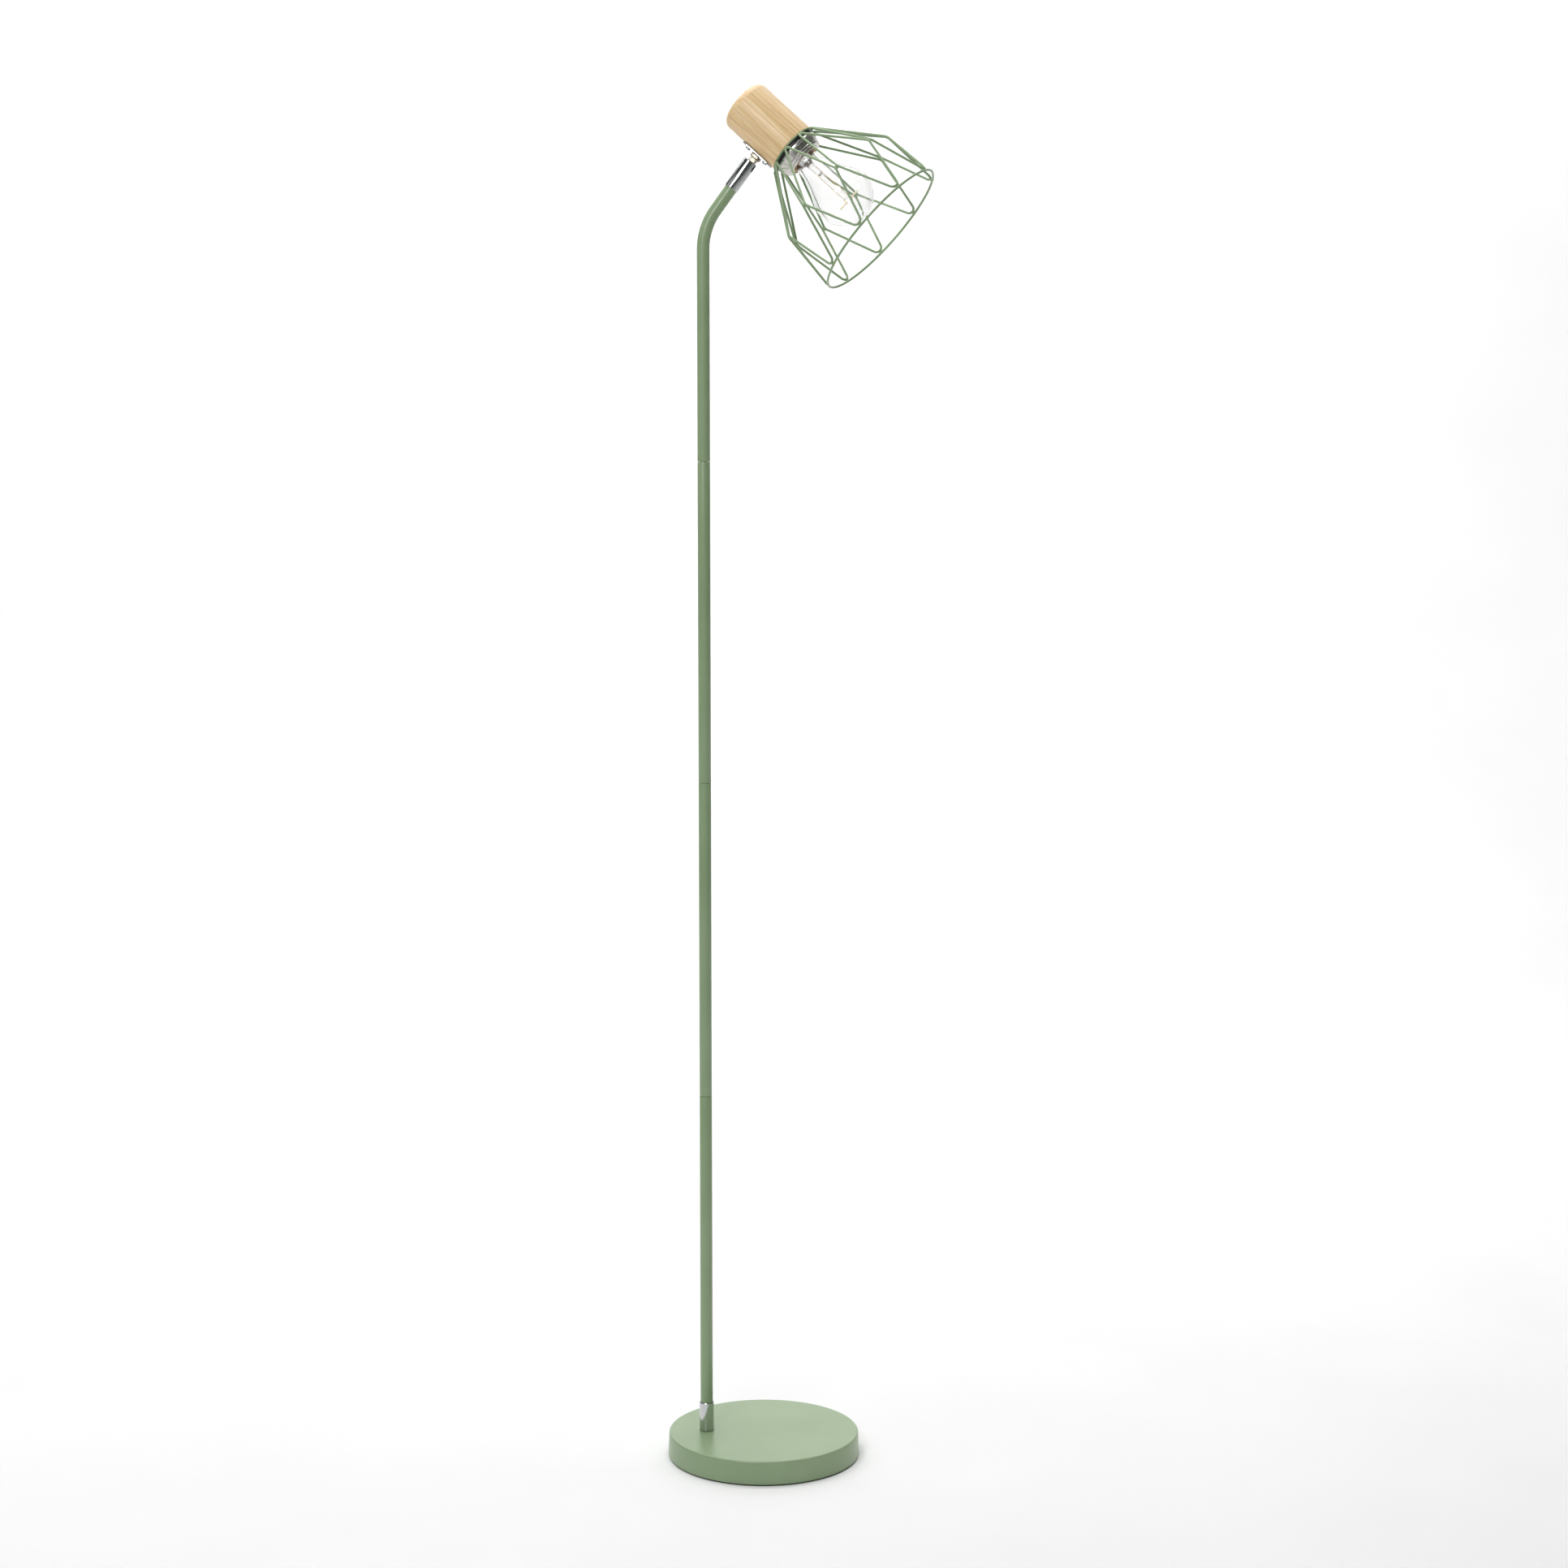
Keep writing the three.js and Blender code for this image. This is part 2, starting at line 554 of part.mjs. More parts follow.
function addSwivel(pole) {
  const { direction, sleeveFoot } = neckPoints();
  const axisFrame = new THREE.Group();
  axisFrame.position.copy(sleeveFoot).addScaledVector(direction, -sleeveFootLocal);
  axisFrame.rotation.y = rad(NECK_ANGLE);
  pole.add(axisFrame);
  piece(axisFrame, 'neck_end_bush',
    ring(SHAFT_RADIUS + RUN, tubeBore - RUN, tubeEndLocal - BUSH_LENGTH, tubeEndLocal, COARSE),
    'zincPlate');
  const swivel = new THREE.Group();
  swivel.rotation.z = -rad(HEAD_SWIVEL);
  axisFrame.add(swivel);
  const washerTop = tubeEndLocal - BUSH_LENGTH - GAP;
  const retainerTop = washerTop - WAVE_WASHER - GAP;
  const washerEdge = tubeBore - 2 * RUN;
  piece(swivel, 'swivel_shaft', swivelShaft(), 'zincPlate');
  piece(swivel, 'swivel_washer',
    ring(SHAFT_RADIUS + RUN, washerEdge, washerTop - WAVE_WASHER, washerTop, COARSE), 'zincPlate');
  piece(swivel, 'swivel_retainer',
    ring(SHAFT_RADIUS + RUN, washerEdge, retainerTop - RETAINER_HEIGHT, retainerTop, COARSE),
    'zincPlate');
  piece(swivel, 'swivel_sleeve', slottedSleeve(), 'chrome');
  piece(swivel, 'pivot_pin',
    rod(PIN_RADIUS, -sleeveBore + 2 * RUN, sleeveBore - 2 * RUN, COARSE).rotateX(Math.PI / 2),
    'zincPlate');
  return swivel;
}

// ---------------------------------------------------------------- knuckle and plate
// The head frame shares the pivot. Its +Z points from the pivot to the cup, and its +X
// along the cup to its mouth.
function knuckle() {
  const half = TONGUE_WIDTH / 2;
  const top = PLATE_OFFSET - GAP;
  const eye = rod(EYE_RADIUS, -half, half, COARSE).rotateX(Math.PI / 2);
  const tongue = block(-TONGUE_BACK, tongueFront, -half, half, 0, BLOCK_START + 1);
  const collar = block(-BLOCK_HALF, BLOCK_HALF, -BLOCK_HALF, BLOCK_HALF, BLOCK_START, top);
  const hole = rod(PIN_RADIUS + RUN, -half - 1, half + 1, COARSE).rotateX(Math.PI / 2);
  return joinAndCut([eye, tongue, collar], [hole]);
}

function mountingPlate() {
  const run = (PLATE_LENGTH - PLATE_WIDTH) / 2;
  const half = PLATE_WIDTH / 2;
  const shape = new THREE.Shape();
  shape.absarc(run, 0, half, -Math.PI / 2, Math.PI / 2);
  shape.absarc(-run, 0, half, Math.PI / 2, (Math.PI * 3) / 2);
  [-1, 1].forEach((side) => {
    const x = (side * SCREW_SPACING) / 2;
    shape.holes.push(new THREE.Path().absarc(x, 0, SCREW_RADIUS + RUN, 0, Math.PI * 2));
  });
  return new THREE.ExtrudeGeometry(shape, {
    depth: PLATE_THICKNESS,
    bevelEnabled: false,
    curveSegments: 8,
  }).translate(0, 0, PLATE_OFFSET);
}

function plateScrew() {
  const headTop = PLATE_OFFSET - GAP;
  const tip = PLATE_OFFSET + PLATE_THICKNESS + GAP + SCREW_BITE;
  return turned([
    [0, headTop - SCREW_HEAD_HEIGHT],
    [SCREW_HEAD_RADIUS * 0.6, headTop - SCREW_HEAD_HEIGHT * 0.85],
    [SCREW_HEAD_RADIUS, headTop - SCREW_HEAD_HEIGHT * 0.35],
    [SCREW_HEAD_RADIUS, headTop],
    [SCREW_RADIUS, headTop],
    [SCREW_RADIUS, tip - SCREW_RADIUS],
    [0, tip],
  ], 16);
}

function addKnuckle(swivel) {
  const head = new THREE.Group();
  head.rotation.y = rad(HEAD_TILT);
  swivel.add(head);
  piece(head, 'tilt_knuckle', knuckle(), 'zincPlate');
  piece(head, 'mounting_plate', mountingPlate(), 'chrome');
  [-1, 1].forEach((side, i) => {
    piece(head, `plate_screw_${i + 1}`, plateScrew(), 'chrome')
      .position.x = (side * SCREW_SPACING) / 2;
  });
  return head;
}

// ---------------------------------------------------------------- cup and lampholder
// The cup frame has its origin at the centre of the cup's rim, +Z out of the mouth and
// +X towards the arm.
function woodCup() {
  const body = turned([
    [0, -CUP_LENGTH],
    [CUP_RADIUS, -CUP_LENGTH + CUP_DOME, CUP_FILLET],
    [CUP_RADIUS, -RIM_CHAMFER],
    [CUP_RADIUS - RIM_CHAMFER, 0],
    [cupBore, 0],
    [cupBore, -CUP_DEPTH],
    [0, -CUP_DEPTH],
  ], FINE);
  const pilots = [-1, 1].map((side) =>
    rod(SCREW_RADIUS + RUN, CUP_RADIUS - SCREW_BITE - GAP, CUP_RADIUS + 1, PILOT_FACETS)
      .rotateY(Math.PI / 2)
      .translate(0, 0, -RIM_REACH + (side * SCREW_SPACING) / 2));
  return cut(body, pilots);
}

function lampholderBody() {
  const socket = CAP_RADIUS + RUN + SOCKET_WALL + RUN;
  return turned([
    [0, SOCKET_FLOOR],
    [socket, SOCKET_FLOOR],
    [socket, SKIRT_END],
    [skirtRadius, SKIRT_END],
    [skirtRadius, SKIRT_START + SKIRT_CHAMFER],
    [holderRadius, SKIRT_START],
    [holderRadius, holderRear],
    [NIPPLE_RADIUS + RUN, holderRear],
    [NIPPLE_RADIUS + RUN, holderRear + HOLDER_WALL],
    [holderRadius - HOLDER_WALL, holderRear + HOLDER_WALL],
    [holderRadius - HOLDER_WALL, SOCKET_FLOOR - HOLDER_WALL],
    [0, SOCKET_FLOOR - HOLDER_WALL],
  ], MEDIUM);
}

function shadeRing() {
  const bore = skirtRadius + RUN;
  const rim = skirtRadius + SHADE_RING_FLANGE;
  const nose = skirtRadius + SHADE_RING_NOSE;
  const lip = SKIRT_END + GAP;
  return turned([
    [bore, shadeRingStart],
    [rim, shadeRingStart],
    [rim, shadeRingStart + SHADE_RING_RIM],
    [nose, lip - GAP],
    [nose - 1, lip],
    [shadeMouth + 1, lip + SHADE_RING_LIP],
    [shadeMouth, lip + SHADE_RING_LIP],
    [shadeMouth, lip],
    [bore, lip],
  ], MEDIUM);
}

function addCup(head) {
  const cup = new THREE.Group();
  cup.position.set(RIM_REACH, 0, cupAxis);
  cup.rotation.y = Math.PI / 2;
  head.add(cup);
  const nippleBore = NIPPLE_RADIUS + RUN;
  const nippleTop = holderRear + HOLDER_WALL + NIPPLE_TAIL;
  const skirtBore = skirtRadius + RUN;
  const washerStart = GAP + COLLAR_THICKNESS + GAP;
  const shell = CAP_RADIUS + RUN;
  piece(cup, 'wood_cup', woodCup(), 'oak');
  piece(cup, 'holder_backplate',
    ring(nippleBore, cupBore - RUN, -CUP_DEPTH + GAP, backplateFront, MEDIUM), 'zincPlate');
  piece(cup, 'holder_nipple',
    ring(THREAD_BORE, NIPPLE_RADIUS, -CUP_DEPTH + 2 * GAP, nippleTop, COARSE), 'zincPlate');
  piece(cup, 'holder_locknut',
    hexNut(LOCKNUT_RADIUS, nippleBore, backplateFront + GAP, LOCKNUT_HEIGHT), 'zincPlate');
  piece(cup, 'lampholder_body', lampholderBody(), 'blackPlastic');
  piece(cup, 'socket_shell',
    ring(shell, shell + SOCKET_WALL, SOCKET_FLOOR + GAP, SKIRT_END - 1, MEDIUM), 'brass');
  piece(cup, 'socket_contact',
    rod(CONTACT_RADIUS, SOCKET_FLOOR + GAP, contactTop, COARSE), 'brass');
  piece(cup, 'insulating_washer',
    ring(skirtBore, skirtBore + WASHER_RING_WIDTH, washerStart, washerStart + WASHER_RING_THICKNESS,
      MEDIUM), 'blackPlastic');
  piece(cup, 'shade_ring', shadeRing(), 'satinAluminium');
  return cup;
}

// ---------------------------------------------------------------- cage
// Distance from a loop's knee line to the sharp corner that a bend of the given radius
// rounds back to an apex at the given distance.
function sharpCorner(apex, halfSpread, bend) {
  const lead = apex - bend;
  const slant = Math.sqrt(lead ** 2 + halfSpread ** 2 - bend ** 2);
  return (halfSpread * (halfSpread * lead + bend * slant)) / (halfSpread ** 2 - bend ** 2);
}

function cageLoop() {
  const halfPitch = Math.PI / LOOP_COUNT;
  const kneeAngle = halfPitch - Math.asin((WIRE_RADIUS + GAP / 2) / KNEE_RADIUS);
  const spread = KNEE_RADIUS * Math.sin(kneeAngle);
  const kneeLine = vec(KNEE_RADIUS * Math.cos(kneeAngle), 0, KNEE_DROP);
  const weldGap = 2 * WIRE_RADIUS + GAP;
  const seat = (WIRE_RADIUS + GAP) * Math.SQRT1_2;
  const topApex = vec(collarRadius + seat, 0, GAP + COLLAR_THICKNESS + seat);
  const tipApex = vec(RING_RADIUS, 0, RING_DROP - weldGap);
  const corner = (apex, bend) => {
    const reach = apex.clone().sub(kneeLine);
    return kneeLine.clone().add(reach.setLength(sharpCorner(reach.length(), spread, bend)));
  };
  const top = corner(topApex, TOP_BEND);
  const tip = corner(tipApex, TIP_BEND);
  const knees = [1, -1].map((side) => kneeLine.clone().setY(side * spread));
  const edge = knees[0].clone().sub(top);
  const seam = (shift) =>
    top.clone().addScaledVector(edge, SEAM_SHARE + shift / edge.length());
  const setback = TOP_BEND / Math.tan(Math.atan2(spread, kneeLine.distanceTo(top)));
  const path = roundedPath([
    { point: seam(setback + GAP / 2) },
    { point: knees[0], bend: KNEE_BEND },
    { point: tip, bend: TIP_BEND },
    { point: knees[1], bend: KNEE_BEND },
    { point: top, bend: TOP_BEND },
    { point: seam(setback - GAP / 2) },
  ], 24);
  return sweep(disc(WIRE_RADIUS, WIRE_FACETS / 2), path);
}

function addCage(cup) {
  piece(cup, 'cage_collar',
    ring(skirtRadius + 2 * RUN, collarRadius, GAP, GAP + COLLAR_THICKNESS, MEDIUM), 'sagePaint');
  for (let i = 0; i < LOOP_COUNT; i += 1) {
    piece(cup, `cage_loop_${i + 1}`, cageLoop(), 'sagePaint')
      .rotation.z = (2 * Math.PI * i) / LOOP_COUNT;
  }
  const hoop = new THREE.TorusGeometry(RING_RADIUS, WIRE_RADIUS, WIRE_FACETS, RING_STEPS);
  piece(cup, 'cage_ring', hoop, 'sagePaint').position.z = RING_DROP;
}

// ---------------------------------------------------------------- bulb
// Half outline of the glass, from its tip to its neck, set in by the given thickness.
function glassOutline(inset, steps) {
  const radius = BULB_RADIUS - inset;
  const neck = bulbNeck - inset;
  const lastAngle = rad(SPHERE_END);
  const sphere = Array.from({ length: steps + 1 }, (_, i) => {
    const angle = (lastAngle * i) / steps;
    return [radius * Math.sin(angle), BULB_CENTRE + radius * Math.cos(angle)];
  });
  const [startR, startZ] = sphere[steps];
  const pull = (BULB_CENTRE - BULB_NECK_END) * FLANK_PULL;
  const flank = new THREE.CubicBezierCurve(
    new THREE.Vector2(startR, startZ),
    new THREE.Vector2(startR + pull * Math.cos(lastAngle), startZ - pull * Math.sin(lastAngle)),
    new THREE.Vector2(neck, BULB_NECK_END + pull),
    new THREE.Vector2(neck, BULB_NECK_END),
  ).getPoints(4).slice(1).map((p) => [p.x, p.y]);
  return [...sphere, ...flank];
}

function bulbGlass() {
  const seat = CAP_RADIUS - CAP_WALL - RUN;
  const seatTop = capStart + CAP_LENGTH;
  const seatBottom = seatTop - SEAT_DEPTH;
  return turned([
    ...glassOutline(0, 9),
    [seat, seatTop],
    [seat, seatBottom],
    [seat - GLASS_WALL, seatBottom],
    [seat - GLASS_WALL, seatTop],
    ...glassOutline(GLASS_WALL, 9).reverse(),
  ], MEDIUM);
}

function bulbStem() {
  const foot = capStart + CAP_LENGTH - 1;
  const tip = BULB_CENTRE + FILAMENT_STANDOFF - FILAMENT_RADIUS - GAP;
  return turned([
    [0, foot],
    ...MOUNT_FLARE.map(([radius, height]) => [radius, foot + height]),
    [MOUNT_ROD, tip - 3],
    [MOUNT_BEAD, tip - 2],
    [MOUNT_BEAD, tip - 1],
    [0, tip],
  ], COARSE);
}

function addBulb(cup) {
  const bottom = capStart;
  const insulator = bottom - GAP - CAP_INSULATOR;
  const contact = insulator - GAP - CAP_CONTACT;
  const lip = CAP_RADIUS - CAP_WALL;
  piece(cup, 'bulb_glass', bulbGlass(), 'glass');
  piece(cup, 'bulb_cap', turned([
    [CAP_HOLE, bottom],
    [CAP_RADIUS - CAP_EDGE, bottom],
    [CAP_RADIUS, bottom + CAP_EDGE],
    [CAP_RADIUS, bottom + CAP_LENGTH],
    [lip, bottom + CAP_LENGTH],
    [lip, bottom + CAP_EDGE + CAP_WALL / 2],
    [lip - CAP_EDGE + CAP_WALL / 2, bottom + CAP_WALL],
    [CAP_HOLE, bottom + CAP_WALL],
  ], MEDIUM), 'brass');
  piece(cup, 'bulb_insulator', turned([
    [0, insulator],
    [CONTACT_RADIUS + 1, insulator],
    [CAP_RADIUS - CAP_EDGE - 0.5, insulator + CAP_INSULATOR],
    [0, insulator + CAP_INSULATOR],
  ], COARSE), 'blackPlastic');
  piece(cup, 'bulb_contact', rod(CONTACT_RADIUS, contact, contact + CAP_CONTACT, COARSE), 'zincPlate');
  piece(cup, 'bulb_stem', bulbStem(), 'glass');
  piece(cup, 'bulb_filament',
    rod(FILAMENT_RADIUS, -FILAMENT_LENGTH / 2, FILAMENT_LENGTH / 2, 10)
      .rotateY(Math.PI / 2)
      .translate(0, 0, BULB_CENTRE + FILAMENT_STANDOFF), 'tungsten');
}

// ---------------------------------------------------------------- assembly
const lamp = new THREE.Group();
addBase(lamp);
const pole = addPole(lamp);
const swivel = addSwivel(pole);
const head = addKnuckle(swivel);
const cup = addCup(head);
addCage(cup);
addBulb(cup);

export default lamp;
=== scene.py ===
"""Looks of the adjustable arm floor lamp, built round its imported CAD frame. Metres, +Z up."""

import json
import math

import bmesh
import bpy
from mathutils import Matrix, Vector


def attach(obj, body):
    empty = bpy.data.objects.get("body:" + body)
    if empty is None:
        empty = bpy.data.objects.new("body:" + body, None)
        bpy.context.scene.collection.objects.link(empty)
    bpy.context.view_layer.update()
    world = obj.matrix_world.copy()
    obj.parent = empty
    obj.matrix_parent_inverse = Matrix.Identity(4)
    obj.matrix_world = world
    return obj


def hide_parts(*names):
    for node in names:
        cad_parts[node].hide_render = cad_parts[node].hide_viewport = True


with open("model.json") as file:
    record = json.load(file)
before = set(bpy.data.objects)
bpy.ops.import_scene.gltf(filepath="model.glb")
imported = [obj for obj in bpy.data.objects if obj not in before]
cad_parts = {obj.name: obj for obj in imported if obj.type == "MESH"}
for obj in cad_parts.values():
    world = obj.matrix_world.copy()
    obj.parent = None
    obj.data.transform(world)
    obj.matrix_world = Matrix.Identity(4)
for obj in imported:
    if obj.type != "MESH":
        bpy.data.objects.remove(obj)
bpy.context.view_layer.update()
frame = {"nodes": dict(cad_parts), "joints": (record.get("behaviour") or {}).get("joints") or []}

MM = 0.001
FULL_TURN = 2 * math.pi
NODES = frame["nodes"]
JOINTS = {joint["name"]: joint for joint in frame["joints"]}

# ------------------------------------------------------------------ sizes, millimetres
BASE_RADIUS = 98.6
BASE_TOP = 25.3
BASE_SHOULDER = 97.8
PAD_TOP = 1.2
SHELL_FOOT = 1.5
SHELL_WALL = 1.0
GROMMET_Z = 12.0
POLE_X = -59.0
TUBE_RADIUS = 6.35
TUBE_BORE = 5.55
FERRULE_BORE = 6.65
FERRULE_RADIUS = 7.45
FERRULE_BOTTOM = 25.6
FERRULE_TOP = 55.6
SECTION = 322.5
NECK_RISE = 208.7
NECK_BEND = 65.0
NECK_ANGLE = math.radians(36)
NECK_RUN = 37.9
SLEEVE_BORE = 6.65
SLEEVE_RADIUS = 7.35
SLEEVE_TOP = 7.0
SLEEVE_FOOT = -26.0
SLOT_HALF = 3.1
SLOT_END = -2.0
HEAD_TILT = math.radians(6.6)
PLATE_AT = 15.3
PLATE_THICK = 1.2
PLATE_HALF = 19.35
PLATE_ROUND = 6.0
SCREW_AT = 11.2
RIM_REACH = 22.5
CUP_AXIS = 43.5
CUP_RADIUS = 26.7
CUP_LENGTH = 70.4
CUP_BORE = 22.0
CUP_DEPTH = 55.0
SKIRT = 19.7
CAP_RADIUS = 13.15
CAP_START = -3.1
CAP_END = 16.9
WIRE = 1.2
LOOPS = 9
COLLAR = 27.6
COLLAR_FRONT = 1.5
KNEE_RADIUS = 70.4
KNEE_DROP = 62.7
RING_RADIUS = 74.4
RING_DROP = 119.6
BULB_RADIUS = 30.2
BULB_CENTRE = 69.0
BULB_NECK = 13.4
BULB_NECK_END = 20.0
GLASS_WALL = 0.8
FILAMENT_LEVEL = BULB_CENTRE + 7.5
FILAMENT_ROD = 0.9
SEAM = 0.15
TONGUE_HALF = 2.7
GRUB_HEIGHT = 13.1
SCREW_HOLE = 1.8
THREAD_PITCH = 3.62


# ------------------------------------------------------------------ frames
def frame_of(origin, x, y, z):
    """Matrix from millimetres in a local frame to metres in the lamp's."""
    turn = Matrix((x, y, z)).transposed().to_4x4()
    return Matrix.Translation(origin) @ turn @ Matrix.Scale(MM, 4)


STAND = Matrix.Scale(MM, 4)
POLE = Matrix.Translation((POLE_X * MM, 0, 0)) @ STAND
pivot = Vector(JOINTS["head_tilt"]["pos_m"])
sleeve_z = Vector(JOINTS["head_swivel"]["axis"]).normalized()
sleeve_y = Vector(JOINTS["head_tilt"]["axis"]).normalized()
sleeve_x = sleeve_y.cross(sleeve_z).normalized()
SWIVEL = frame_of(pivot, sleeve_x, sleeve_y, sleeve_z)
head_x = sleeve_x * math.cos(HEAD_TILT) - sleeve_z * math.sin(HEAD_TILT)
head_z = sleeve_x * math.sin(HEAD_TILT) + sleeve_z * math.cos(HEAD_TILT)
HEAD = frame_of(pivot, head_x, sleeve_y, head_z)
cup_origin = pivot + head_x * RIM_REACH * MM + head_z * CUP_AXIS * MM
CUP = frame_of(cup_origin, -head_z, sleeve_y, head_x)


# ------------------------------------------------------------------ mesh helpers
def finished(name, bm, place, body, material, stands_for=(), smooth=35, bevel=0.0):
    """Turns a bmesh in local millimetres into a placed, shaded piece riding on a body."""
    bmesh.ops.transform(bm, matrix=place, verts=bm.verts)
    bmesh.ops.remove_doubles(bm, verts=bm.verts, dist=1e-6)
    bmesh.ops.recalc_face_normals(bm, faces=bm.faces)
    limit = math.radians(smooth)
    for face in bm.faces:
        face.smooth = True
    for edge in bm.edges:
        edge.smooth = len(edge.link_faces) == 2 and edge.calc_face_angle(0) < limit
    mesh = bpy.data.meshes.new(name)
    bm.to_mesh(mesh)
    bm.free()
    piece = bpy.data.objects.new(name, mesh)
    bpy.context.scene.collection.objects.link(piece)
    mesh.materials.append(material)
    if bevel:
        soften = piece.modifiers.new("edges", "BEVEL")
        soften.width = bevel * MM
        soften.segments = 3
        soften.limit_method = "ANGLE"
        soften.angle_limit = math.radians(40)
        soften.harden_normals = False
    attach(piece, body)
    if stands_for:
        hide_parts(*stands_for)
    return piece


def rounded(corners, steps=5):
    """Corners [radius, z, fillet] with each marked corner replaced by an arc."""
    outline = []
    count = len(corners)
    for i, corner in enumerate(corners):
        here = Vector(corner[:2])
        if len(corner) < 3 or not corner[2]:
            outline.append(here)
            continue
        to_a = (Vector(corners[i - 1][:2]) - here).normalized()
        to_c = (Vector(corners[(i + 1) % count][:2]) - here).normalized()
        half = to_a.angle(to_c) / 2
        radius = corner[2]
        centre = here + (to_a + to_c).normalized() * radius / math.sin(half)
        start = here + to_a * radius / math.tan(half) - centre
        end = here + to_c * radius / math.tan(half) - centre
        turn = start.angle_signed(end)
        for step in range(steps + 1):
            outline.append(centre + Matrix.Rotation(-turn * step / steps, 2) @ start)
    return outline


def turned(outline, facets=96, closed=True):
    """Spins an outline of (radius, z) about Z. Points on the axis are merged."""
    bm = bmesh.new()
    verts = [bm.verts.new((point[0], 0, point[1])) for point in outline]
    edges = [bm.edges.new(pair) for pair in zip(verts, verts[1:])]
    if closed:
        edges.append(bm.edges.new((verts[-1], verts[0])))
    bmesh.ops.spin(bm, geom=verts + edges, cent=(0, 0, 0), axis=(0, 0, 1), dvec=(0, 0, 0),
                   angle=FULL_TURN, steps=facets, use_merge=True)
    bmesh.ops.remove_doubles(bm, verts=bm.verts, dist=1e-4)
    bmesh.ops.recalc_face_normals(bm, faces=bm.faces)
    return bm


def tube_outline(inner, outer, bottom, top, edge):
    return rounded([(inner, bottom, edge / 2), (outer, bottom, edge), (outer, top, edge),
                    (inner, top, edge / 2)], steps=3)


def block(bm, low, high, bevel=0.0):
    """Adds a box between two corners, with its edges rounded."""
    low, high = Vector(low), Vector(high)
    made = bmesh.ops.create_cube(bm, size=1)["verts"]
    size = high - low
    bmesh.ops.scale(bm, vec=size, verts=made)
    bmesh.ops.translate(bm, vec=(low + high) / 2, verts=made)
    if bevel:
        edges = list({edge for vert in made for edge in vert.link_edges})
        bmesh.ops.bevel(bm, geom=edges, offset=bevel, offset_type="OFFSET", segments=3,
                        profile=0.5, affect="EDGES", material=-1)


def rod(bm, radius, start, end, facets, bevel=0.0):
    """Adds a capped rod between two points."""
    start, end = Vector(start), Vector(end)
    run = end - start
    turn = run.to_track_quat("Z", "Y").to_matrix().to_4x4()
    place = Matrix.Translation((start + end) / 2) @ turn
    made = bmesh.ops.create_cone(bm, cap_ends=True, cap_tris=False, segments=facets,
                                 radius1=radius, radius2=radius, depth=run.length,
                                 matrix=place)["verts"]
    if bevel:
        rims = [edge for edge in {e for v in made for e in v.link_edges}
                if any(len(face.verts) > 4 for face in edge.link_faces)]
        bmesh.ops.bevel(bm, geom=rims, offset=bevel, offset_type="OFFSET", segments=3,
                        profile=0.5, affect="EDGES", material=-1)


def placed(bm, place):
    bmesh.ops.transform(bm, matrix=place, verts=bm.verts)
    return bm


def bend(before, corner, after, radius):
    """Start, centre, axis, angle and end of the arc that rounds a corner of a path."""
    to_a = (before - corner).normalized()
    to_c = (after - corner).normalized()
    half = to_a.angle(to_c) / 2
    setback = radius / math.tan(half)
    centre = corner + (to_a + to_c).normalized() * radius / math.sin(half)
    start, end = corner + to_a * setback, corner + to_c * setback
    axis = (start - centre).cross(end - centre).normalized()
    return start, centre, axis, math.pi - 2 * half, end


def bent_tube(bm, corners, radii, facets, step, join=False):
    """Sweeps circles of the given radii along corners (point, bend radius).
    Two radii make a hollow tube. With join, the path closes on its own start."""
    points = [Vector(corner[0]) for corner in corners]
    heading = (points[1] - points[0]).normalized()
    turn = heading.to_track_quat("Z", "Y").to_matrix().to_4x4()
    place = Matrix.Translation(points[0]) @ turn
    for radius in radii:
        ring = bmesh.ops.create_circle(bm, cap_ends=False, radius=radius, segments=facets,
                                       matrix=place)["verts"]
        here = points[0].copy()
        first = list(ring)
        edges = list({edge for vert in ring for edge in vert.link_edges})
        for i in range(1, len(points)):
            if i < len(points) - 1:
                start, centre, axis, angle, after = bend(points[i - 1], points[i],
                                                         points[i + 1], corners[i][1])
            else:
                start = points[i]
            made = bmesh.ops.extrude_edge_only(bm, edges=edges)["geom"]
            ring = [part for part in made if isinstance(part, bmesh.types.BMVert)]
            edges = [part for part in made if isinstance(part, bmesh.types.BMEdge)
                     and all(vert in ring for vert in part.verts)]
            bmesh.ops.translate(bm, vec=start - here, verts=ring)
            here = start.copy()
            if i < len(points) - 1:
                steps = max(2, math.ceil(math.degrees(angle) / step))
                last = bmesh.ops.spin(bm, geom=ring + edges, cent=centre, axis=axis,
                                      dvec=(0, 0, 0), angle=angle, steps=steps,
                                      use_merge=False)["geom_last"]
                ring = [part for part in last if isinstance(part, bmesh.types.BMVert)]
                edges = [part for part in last if isinstance(part, bmesh.types.BMEdge)]
                here = after.copy()
        if join:
            continue
        if len(radii) == 1:
            for loop in (first, ring):
                closing = [edge for edge in {e for v in loop for e in v.link_edges}
                           if edge.is_boundary and all(v in loop for v in edge.verts)]
                bmesh.ops.contextual_create(bm, geom=closing)
    if len(radii) == 2:
        rims = [edge for edge in bm.edges if edge.is_boundary]
        bmesh.ops.bridge_loops(bm, edges=[e for e in rims if near_ring(e, points[0])])
        bmesh.ops.bridge_loops(bm, edges=[e for e in rims if near_ring(e, points[-1])])


def near_ring(edge, point, reach=20):
    middle = (edge.verts[0].co + edge.verts[1].co) / 2
    return (middle - point).length < reach


